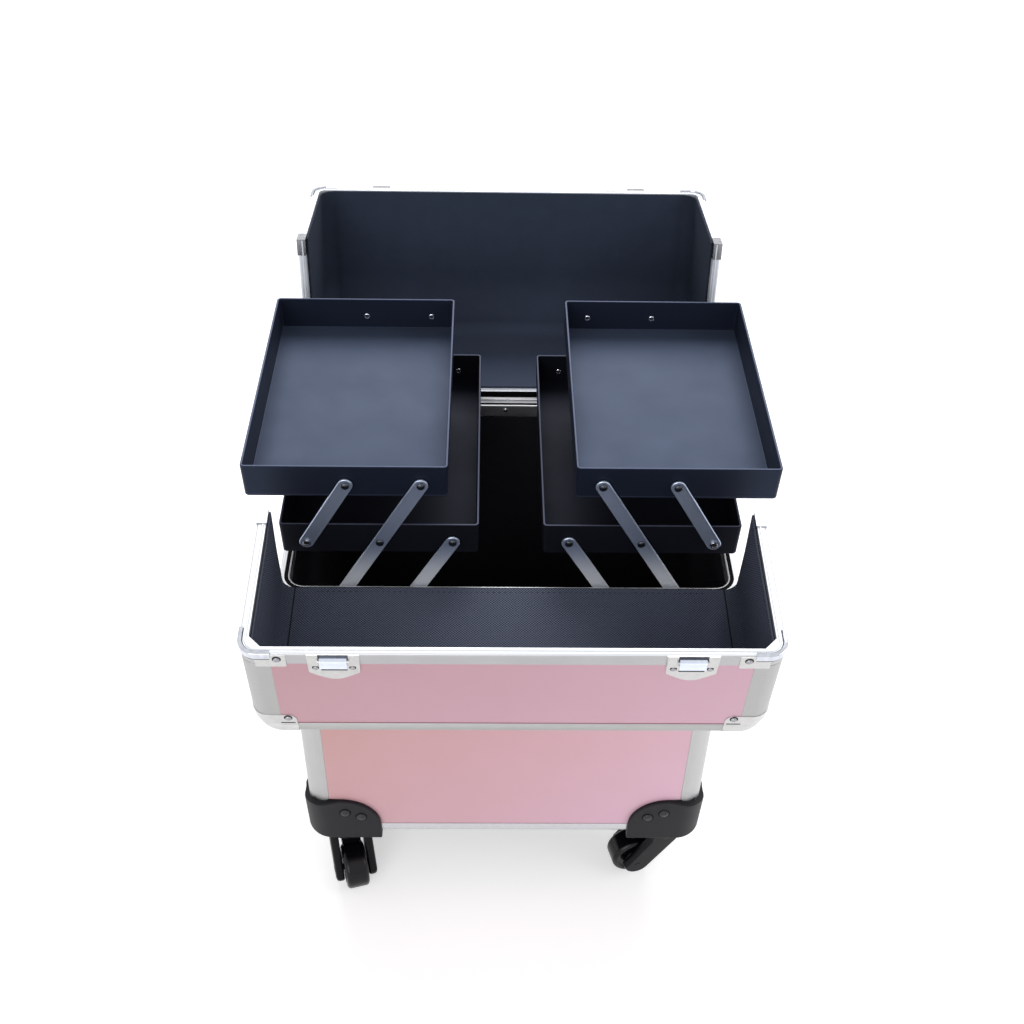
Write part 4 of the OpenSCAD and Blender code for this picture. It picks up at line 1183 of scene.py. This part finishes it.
# %% Fastener tree
INPUTS = {"Points": "Geometry", "Head": "Object", "Size": "Float", "Finish": "Material"}
FASTENER_NODES = {
    "in": "NodeGroupInput",
    "facing": "GeometryNodeInputNamedAttribute",
    "running": "GeometryNodeInputNamedAttribute",
    "stand": "FunctionNodeAlignRotationToVector",
    "turn": "FunctionNodeAlignRotationToVector",
    "head": "GeometryNodeObjectInfo",
    "set": "GeometryNodeInstanceOnPoints",
    "real": "GeometryNodeRealizeInstances",
    "paint": "GeometryNodeSetMaterial",
    "out": "NodeGroupOutput",
}
FASTENER_LINKS = (
    ("in", "Points", "set", "Points"), ("in", "Head", "head", "Object"), ("in", "Size", "set", "Scale"),
    ("facing", "Attribute", "stand", "Vector"), ("stand", "Rotation", "turn", "Rotation"),
    ("running", "Attribute", "turn", "Vector"), ("turn", "Rotation", "set", "Rotation"),
    ("head", "Geometry", "set", "Instance"), ("set", "Instances", "real", "Geometry"),
    ("real", "Geometry", "paint", "Geometry"), ("in", "Finish", "paint", "Material"),
    ("paint", "Geometry", "out", "Fasteners"),
)
fasteners = bpy.data.node_groups.new("fasteners", "GeometryNodeTree")
for name, kind in INPUTS.items():
    fasteners.interface.new_socket(name, in_out="INPUT", socket_type="NodeSocket" + kind)
fasteners.interface.new_socket("Fasteners", in_out="OUTPUT", socket_type="NodeSocketGeometry")
step = {key: fasteners.nodes.new(kind) for key, kind in FASTENER_NODES.items()}
for key in ("facing", "running"):
    step[key].data_type = "FLOAT_VECTOR"
    step[key].inputs["Name"].default_value = key
step["stand"].axis = "Z"
step["turn"].axis, step["turn"].pivot_axis = "X", "Z"
for source, output, target, socket in FASTENER_LINKS:
    fasteners.links.new(step[source].outputs[output], step[target].inputs[socket])
SOCKETS = {item.name: item.identifier for item in fasteners.interface.items_tree if item.in_out == "INPUT"}
print("fastener tree:", len(fasteners.nodes), "nodes,", len(fasteners.links), "links")

# %% [markdown]
# The heads are turned to a radius of one, and the tree gives them their size. They aren't linked to the
# scene, because only their copies are part of it.

# %% Heads


def head_shape(name, profile, steps=24, stretch=(1, 1, 1)):
    turned = lathe(profile, steps)
    bmesh.ops.scale(turned, vec=stretch, verts=turned.verts)
    bmesh.ops.recalc_face_normals(turned, faces=turned.faces)
    return bpy.data.objects.new(name, mesh_of(name, turned))


DOME = head_shape("dome", [
    (0.02, -0.05), (1, -0.05), (1, 0.08), (0.93, 0.2), (0.75, 0.34), (0.45, 0.45), (0.02, 0.5),
])
RING = head_shape("ring", [
    (0.02, -0.3), (0.45, -0.3), (0.5, 0.05), (0.62, 0.28), (0.8, 0.3), (0.95, 0.2), (1, -0.1), (0.9, -0.35),
    (0.02, -0.35),
])
DISC = head_shape("disc", [(0.02, -0.02), (1, -0.02), (1, 0.03), (0.96, 0.05), (0.02, 0.05)])
STITCH = head_shape("stitch", [
    (0.02, -0.5), (0.6, -0.35), (0.9, 0), (0.6, 0.35), (0.02, 0.5),
], steps=8, stretch=(2.4, 0.8, 0.9))
print("heads:", ", ".join(head.name for head in (DOME, RING, DISC, STITCH)))


def fasten(name, spots, place, head, size, finish, body, slot, stands_for=()):
    """Heads of one size, in millimetres, on spots of (point, facing) or (point, facing, running) in place."""
    spots = [(*spot, (1, 0, 0))[:3] for spot in spots]
    mesh = bpy.data.meshes.new(name)
    mesh.from_pydata([place @ Vector(spot[0]) for spot in spots], [], [])
    for column, key in ((1, "facing"), (2, "running")):
        ways = mesh.attributes.new(key, "FLOAT_VECTOR", "POINT")
        for entry, spot in zip(ways.data, spots):
            entry.vector = (place.to_3x3() @ Vector(spot[column])).normalized()
    holder = linked(name, mesh)
    setting = holder.modifiers.new("fasteners", "NODES")
    setting.node_group = fasteners
    for socket, value in (("Head", head), ("Size", size * MM), ("Finish", finish)):
        setting[SOCKETS[socket]] = value
    heads = evaluated(holder)
    bpy.data.objects.remove(holder)
    return dress(name, heads, finish, body, slot, stands_for)


# %% [markdown]
# On the trays, a dark dome holds each arm in front, and a bright tubular end shows inside the wall.
# The outermost pivot of a lower tray shows its open tube in front too. The hole of each tube and eyelet
# is a dark disc of painted shade, which is enough at this size.

# %% Rivets of the trays
PIVOT_PITCH, PIVOT_UP, PIVOT_HEAD, PIVOT_OUT, TRAY_WALL = 55.0, 13.0, 3.1, 2.8, 2.3
TUBE_HOLE, EYELET, EYELET_HOLE = 1.7, 2.6, 1.25
BACK, FORTH, UP = (0, 1, 0), (0, -1, 0), (0, 0, 1)
for node in TRAYS:
    foot, width, depth = tray_place(node)
    side = 1 if foot.x > 0 else -1
    domes, tubes, inner = [], [], []
    for spot in (-1, 0, 1) if node.startswith("lower") else (-1, 0):
        x, z = foot.x + side * spot * PIVOT_PITCH, foot.z + PIVOT_UP
        for end, way, opposite in ((-1, FORTH, BACK), (1, BACK, FORTH)):
            face = foot.y + end * depth / 2
            (tubes if spot == 1 else domes).append(((x, face + end * PIVOT_OUT, z), way))
            inner.append(((x, face - end * TRAY_WALL, z), opposite))
    for kind, spots, head, size, finish, slot in (
        ("rivets", domes, DOME, PIVOT_HEAD, DARK_RIVET, ARM_METAL),
        ("eyelets", inner, RING, EYELET, BRIGHT, STEEL),
        ("eyelet_holes", inner, DISC, EYELET_HOLE, SHADE, STEEL),
        ("tubes", tubes, RING, PIVOT_HEAD, RIVET, ARM_METAL),
        ("tube_holes", tubes, DISC, TUBE_HOLE, SHADE, ARM_METAL),
    ):
        if spots:
            fasten(node.replace("tray", f"tray_{kind}"), spots, IN_MM, head, size, finish, node, slot)

# %% [markdown]
# The rivets of plates, caps and latches sit in punched holes. A dark disc, set a little higher than
# the head, gives the shadow in the upper half of the hole.

# %% Rivets of the flap and the lid
RIVET_X, RIVET_R, HOLE_R, HOLE_UP, EDGE_RIVET = 155, 2.3, 3.0, 0.7, 6
EAR_RIVET_Y = EAR_TOP - 3.6
LATCH_X, LATCH_RIVET_X, LATCH_RIVET_Y, LATCH_T = half_w - 62, 12.2, FLAP_EDGE - 14.4, 1.3


def plate_spots(*heights):
    return [((side * RIVET_X, y, UPPER_H + PLATE_OUT), UP) for side in (-1, 1) for y in heights]


latch_spots = [
    ((side * LATCH_X + end * LATCH_RIVET_X, LATCH_RIVET_Y, UPPER_H + LATCH_T), UP)
    for side in (-1, 1) for end in (-1, 1)
]
for name, body, place, spots, way, small in (
    ("flap", "flap", IN_FLAP, plate_spots(FLAP_EDGE - EDGE_RIVET, EAR_RIVET_Y), 1, 1.0),
    ("lid", "lid", IN_LID, plate_spots(LID_EDGE + EDGE_RIVET, case_d - EAR_RIVET_Y), -1, 1.0),
    ("latch", "flap", IN_FLAP, latch_spots, 1, 0.78),
):
    holes = [((x, y + way * HOLE_UP * small, z), facing) for (x, y, z), facing in spots]
    rivets = [f"{body}_rivets"]
    fasten(f"{name}_rivet_holes", holes, place, DISC, HOLE_R * small, SHADE, body, STEEL)
    fasten(f"{name}_rivet_heads", spots, place, DOME, RIVET_R * small, RIVET, body, STEEL, rivets)

# %% [markdown]
# Two capped rivets hold each wing of a caster bracket, each with a ring of painted shade round its cap.
# On the side wings they sit lower, because the wing has sunk there. Three bright rivets hold the rear rim.

# %% Rivets of the brackets and the rim
WING_RIVETS = ((34.0, 37.0), (48.5, 31.0))
BRACKET_T, CAP_SHADE_R, CAP_R = 4.0, 5.4, 4.4
RIM_RIVET_X, RIM_RIVET_DOWN, RIM_RIVET_R = (-120, -2, 116), 5, 2.2
cap_spots = []
for side in (-1, 1):
    for near in (True, False):
        for reach, height in WING_RIVETS:
            end = reach if near else case_d - reach
            face = -BRACKET_T if near else case_d + BRACKET_T
            lower = SIDE_DROP * (height - WING_FOOT) / (WING_H - WING_FOOT)
            cap_spots.append(((side * (half_w - reach), face, base_z + height), FORTH if near else BACK))
            cap_spots.append(((side * (half_w + BRACKET_T), end, base_z + height - lower), (side, 0, 0)))
# Painted shade: a near-black ring round each cap.
fasten("bracket_rivet_seats", cap_spots, IN_BOX, DISC, CAP_SHADE_R, NEAR_BLACK, "case", PLASTIC)
fasten("bracket_rivet_caps", cap_spots, IN_BOX, DOME, CAP_R, HIGHLIT_CAP, "case", PLASTIC, ["bracket_rivets"])
rim_spots = [((x, case_d - WALL, rim_z - RIM_RIVET_DOWN), FORTH) for x in RIM_RIVET_X]
fasten("rim_rivets", rim_spots, IN_BOX, DOME, RIM_RIVET_R, BRIGHT, "case", STEEL)

# %% [markdown]
# ## Latches
# A latch is a shield-shaped base with two raised tabs. The lever hangs on a pin between them, a bright
# curved tongue whose lower lip turns out for the finger; a painted shadow line lies under it on the base.
# The tongue is one outline from the side, drawn out across, which keeps its curve even.

# %% Shapes of a latch
LATCH_W, LATCH_H, SHOULDER = 35.0, 27.0, 19.0
LEVER_W, LEVER_INSET, LEVER_UP, LEVER_T, LEVER_SKEW = 18.0, 5.0, 3.4, 1.1, 0.25
LEVER_FRONT = (
    (1.8, -1.0), (1.2, 0.4), (-0.4, 1.0), (-2.0, 0.5), (-3.8, 0.5), (-5.4, 1.0), (-6.4, 0.9), (-6.9, 0.2),
)
TAB_X, TAB_Y, TAB_Z = LEVER_W / 2 + 0.9, (-11.5, 0.3), (0.5, 1.9)


def shield():
    """Outline of a latch base: square shoulders, drawn in to a shallow point."""
    half, turn = LATCH_W / 2, LATCH_H - SHOULDER
    right = [
        (half, 0), (half - 0.6, -SHOULDER), (half - 1.6, -SHOULDER - 0.9),
        *[(half * out, -SHOULDER - turn * down) for out, down in ((0.62, 0.5), (0.34, 0.83), (0.12, 0.98))],
    ]
    return right + [(-x, y) for x, y in reversed(right)]


def tab(side):
    """A raised tab beside the lever, from the rim down to the shoulder."""
    near, far = sorted((side * TAB_X, side * (LATCH_W / 2 - 0.5)))
    return ease(slab(near, far, *TAB_Y, *TAB_Z), width=0.6, segments=3)


def lever_pin():
    along_x = Matrix.Translation((0, -LEVER_INSET, LEVER_UP - 0.6)) @ Matrix.Rotation(math.pi / 2, 4, "Y")
    pin = bmesh.new()
    bmesh.ops.create_cone(
        pin, cap_ends=True, segments=16, radius1=1, radius2=1, depth=2 * TAB_X + 1, matrix=along_x,
    )
    return pin


def tongue():
    back = [(y + LEVER_SKEW, z - LEVER_T) for y, z in reversed(LEVER_FRONT)]
    return ease(bar_of([*LEVER_FRONT, *back], -LEVER_W / 2, LEVER_W / 2, axes=(1, 2, 0)), width=0.25)


def patch(half_x, low, high, top):
    """A thin dark slip of painted shade on the base."""
    return slab(-half_x, half_x, low, high, LATCH_T - 0.1, top)


# %% [markdown]
# A latch is put together at the middle of its upper edge, on the front of the flap. Two thin dark slips
# of painted shade lie on its base: one in the gap over the tongue, and one as the shadow line under the
# lip. The tongue rides on the lever, so it is a piece of its own.

# %% Latches
for side, hand in ((-1, "left"), (1, "right")):
    at_latch = IN_FLAP @ Matrix.Translation((side * LATCH_X, FLAP_EDGE, UPPER_H))
    at_pin = at_latch @ Matrix.Translation((0, -LEVER_INSET, LEVER_UP))
    lever = f"latch_lever_{hand}"
    board = ease(bar_of(shield(), 0, LATCH_T), width=0.45, segments=3)
    base = joined(board, tab(-1), tab(1), lever_pin())
    # Painted shade in the gap over the tongue, and a painted shadow line under the lip.
    gap_shade, shade = patch(TAB_X - 0.1, -4.4, 0.1, 1.45), patch(LEVER_W / 2 - 0.4, -16.8, -15.1, 1.5)
    piece(f"latch_shield_{hand}", base, at_latch, PLATE, "flap", STEEL, ["latch_bases"])
    piece(f"latch_gap_{hand}", gap_shade, at_latch, DARK_RIVET, "flap", STEEL)
    piece(f"latch_lip_shade_{hand}", shade, at_latch, SHADE, "flap", STEEL)
    piece(f"latch_tongue_{hand}", tongue(), at_pin, LEVER, lever, STEEL, [lever])

# %% [markdown]
# ## Cloth linings
# The linings are cloth glued to the inside of the walls. A sheet follows a line round the walls, so
# lines come first. They are cut into short even steps, because the points of each row of a sheet have
# to match the row below.

# %% Even lines
SHEET_STEP = 9.0


def along(points):
    """Running length at each point of a line."""
    lengths = [0.0]
    for first, second in zip(points, points[1:]):
        lengths.append(lengths[-1] + math.dist(first, second))
    return lengths


def dense(points):
    """The same line with points at most a step apart."""
    line = [points[0]]
    for first, second in zip(points, points[1:]):
        parts = max(1, math.ceil(math.dist(first, second) / SHEET_STEP))
        line += [tuple(a + (b - a) * i / parts for a, b in zip(first, second)) for i in range(1, parts + 1)]
    return line


def resampled(points, count):
    """A line cut anew into evenly spaced points."""
    lengths = along(points)
    spots, k = [], 0
    for i in range(count):
        target = lengths[-1] * i / (count - 1)
        while k < len(lengths) - 2 and lengths[k + 1] < target:
            k += 1
        share = (target - lengths[k]) / max(lengths[k + 1] - lengths[k], 1e-9)
        spots.append(tuple(a + (b - a) * share for a, b in zip(points[k], points[k + 1])))
    return spots


# %% [markdown]
# The cloth lies on the walls with a thin layer of glue between. The flap and the lid have three walls,
# and the box has four. The line is taken in the middle of the cloth, so that the thickness can be added
# to both sides.

# %% Lines round the walls
CLOTH_T, GLUE, LEAST_R = 1.2, 0.6, 2.0
CLOTH_IN = PANEL_T + GLUE + CLOTH_T / 2


def u_line(inset, rear):
    """The inside of three walls from above, from the rear left round the front to the rear right."""
    radius = max(CORNER_R - inset, LEAST_R)
    x, y = half_w - inset - radius, inset + radius
    turns = bend((-x, y), radius, 2, 3, 5) + bend((x, y), radius, 3, 4, 5)
    return dense([(-half_w + inset, rear), *turns, (half_w - inset, rear)])


def box_line(inset, rear):
    """The inside of four walls from above."""
    ring = rounded_ring(2 * (half_w - inset), case_d - 2 * inset, max(CORNER_R - inset, LEAST_R), 5)
    return dense([(x, y + case_d / 2) for x, y in ring + ring[:1]])


print(f"round three walls of the flap: {along(u_line(CLOTH_IN, FLAP_EDGE))[-1]:.0f} mm")

# %% [markdown]
# Each lining is one sheet that runs round the walls, bends over and covers the end. Its map is laid out
# flat for the weave. A cloth simulation would give folds that glued cloth doesn't have, so the rows of
# the sheet are simply placed.

# %% Sheet of cloth
WALL_ROWS, HEM_RUN = 12, 35


def sheet(line, rear, low, high, put, fold=4.0, side_hem=0.0):
    """A cloth along a line of walls from low to high, and over the end. side_hem lifts its side edges."""
    count = 2 * len(line(CLOTH_IN, rear))
    first = resampled(line(CLOTH_IN, rear), count)
    lengths = along(first)
    closed = math.dist(first[0], first[-1]) < 0.01
    lifts = [
        side_hem * part_of((abs(x) - panel_x) / (half_w - CLOTH_IN - panel_x)) * min((rear - y) / HEM_RUN, 1)
        for x, y in first
    ]
    rows = [(0.0, low + (high - fold - low) * i / WALL_ROWS) for i in range(WALL_ROWS + 1)]
    for turn in (math.pi / 6, math.pi / 3, math.pi / 2):
        rows.append((fold - fold * math.cos(turn), high - fold + fold * math.sin(turn)))
    bm = bmesh.new()
    chart = bm.loops.layers.uv.new(CLOTH_MAP)
    grid = [
        [
            bm.verts.new(put(x, y, height + (high - height) / (high - low) * lift))
            for (x, y), lift in zip(resampled(line(CLOTH_IN + pull, rear), count), lifts)
        ]
        for pull, height in rows
    ]
    for j in range(len(rows) - 1):
        for i in range(count - 1):
            corners = ((i, j), (i + 1, j), (i + 1, j + 1), (i, j + 1))
            face = bm.faces.new([grid[row][column] for column, row in corners])
            for loop, (column, row) in zip(face.loops, corners):
                loop[chart].uv = (lengths[column] * MM, rows[row][1] * MM)
    for loop in bm.faces.new(grid[-1][:-1] if closed else grid[-1]).loops:
        loop[chart].uv = (loop.vert.co.x * MM, loop.vert.co.y * MM)
    if closed:
        bmesh.ops.remove_doubles(bm, verts=bm.verts, dist=1e-4)
    return bm, lengths[-1]


# %% [markdown]
# A sheet is hung in two steps: it gets the thickness of the cloth, and then it is put on the body that
# holds it, with the size of the cut cloth printed. It ends a little inside the rim, so that a strip of
# bare metal shows.

# %% Linings
HEM, RIM_SHOW, LID_SHOW = 0.5, 4.0, 1.0
SIDE_HEM, LID_HEM, LID_FOLD = 3.0, 6.5, 12.0
DRAWN, DRAWN_RUN = 0.03, 25


def hang(name, made, end_depth, place, finish, body, node):
    """Gives a sheet its thickness, puts it in place and says what cloth it was cut from."""
    bm, run = made
    area = sum(face.calc_area() for face in bm.faces) * MM * MM
    tall = max(vert.co.z for vert in bm.verts) - min(vert.co.z for vert in bm.verts)
    bm.transform(place)
    holder = linked(name, mesh_of(name, bm))
    shell = holder.modifiers.new("thickness", "SOLIDIFY")
    shell.thickness, shell.offset = CLOTH_T * MM, 0.0
    cloth = evaluated(holder)
    bpy.data.objects.remove(holder)
    hung = dress(name, cloth, finish, body, "lining", [node])
    flat = (run * MM, (tall + end_depth) * MM)
    print(f"{name}: cut from {flat[0]:.3f} x {flat[1]:.3f} m, {area:.4f} square metres")


def drawn_up(x, y, z):
    """Takes the cloth of the flap right up to the edge towards the hinge."""
    return (x, y * (1 + DRAWN * max(1 - z / DRAWN_RUN, 0)), z)


top, flap_d, lid_d = UPPER_H - CLOTH_IN, FLAP_EDGE - RIM_SHOW, case_d - LID_EDGE - LID_SHOW
flap_sheet = sheet(u_line, flap_d, RIM_GAP + HEM, top, drawn_up, side_hem=SIDE_HEM)
lid_sheet = sheet(u_line, lid_d, RIM_GAP + LID_HEM, top, lambda x, y, z: (x, case_d - y, z), LID_FOLD)
box_h = rim_z - base_z - CLOTH_IN
box_sheet = sheet(box_line, 0, RIM_BAND + GLUE, box_h, lambda x, y, z: (x, y, rim_z - z))
hang("flap_lining_cloth", flap_sheet, flap_d, IN_FLAP, CLOTH, "flap", "flap_lining")
hang("lid_lining_cloth", lid_sheet, lid_d, IN_LID, LID_CLOTH, "lid", "lid_lining")
hang("box_lining_cloth", box_sheet, case_d, IN_BOX, BOX_CLOTH, "case", "body_lining")

# %% [markdown]
# ## Stitches
# A row of stitches holds the hem along the hinge, and one runs under the rim of each side wall. They
# are set by the same tree as the rivets, with the way of the thread as the way that a point runs.

# %% Stitches of the trough
PITCH, STITCH_R, STITCH_IN, SIDE_STITCH = 4.2, 0.62, 4, 2.2
SKIN = CLOTH_IN + CLOTH_T / 2
stitches = [((PITCH * i, SKIN, RIM_GAP + HEM + STITCH_IN), BACK, (1, 0, 0)) for i in range(-35, 36)]
for side in (-1, 1):
    x, y = side * (half_w - SKIN), FLAP_EDGE - RIM_SHOW - SIDE_STITCH
    stitches += [((x, y, 8 + PITCH * i), (-side, 0, 0), UP) for i in range(25)]
fasten("flap_stitches", stitches, IN_FLAP, STITCH, STITCH_R, THREADS, "flap", "lining")
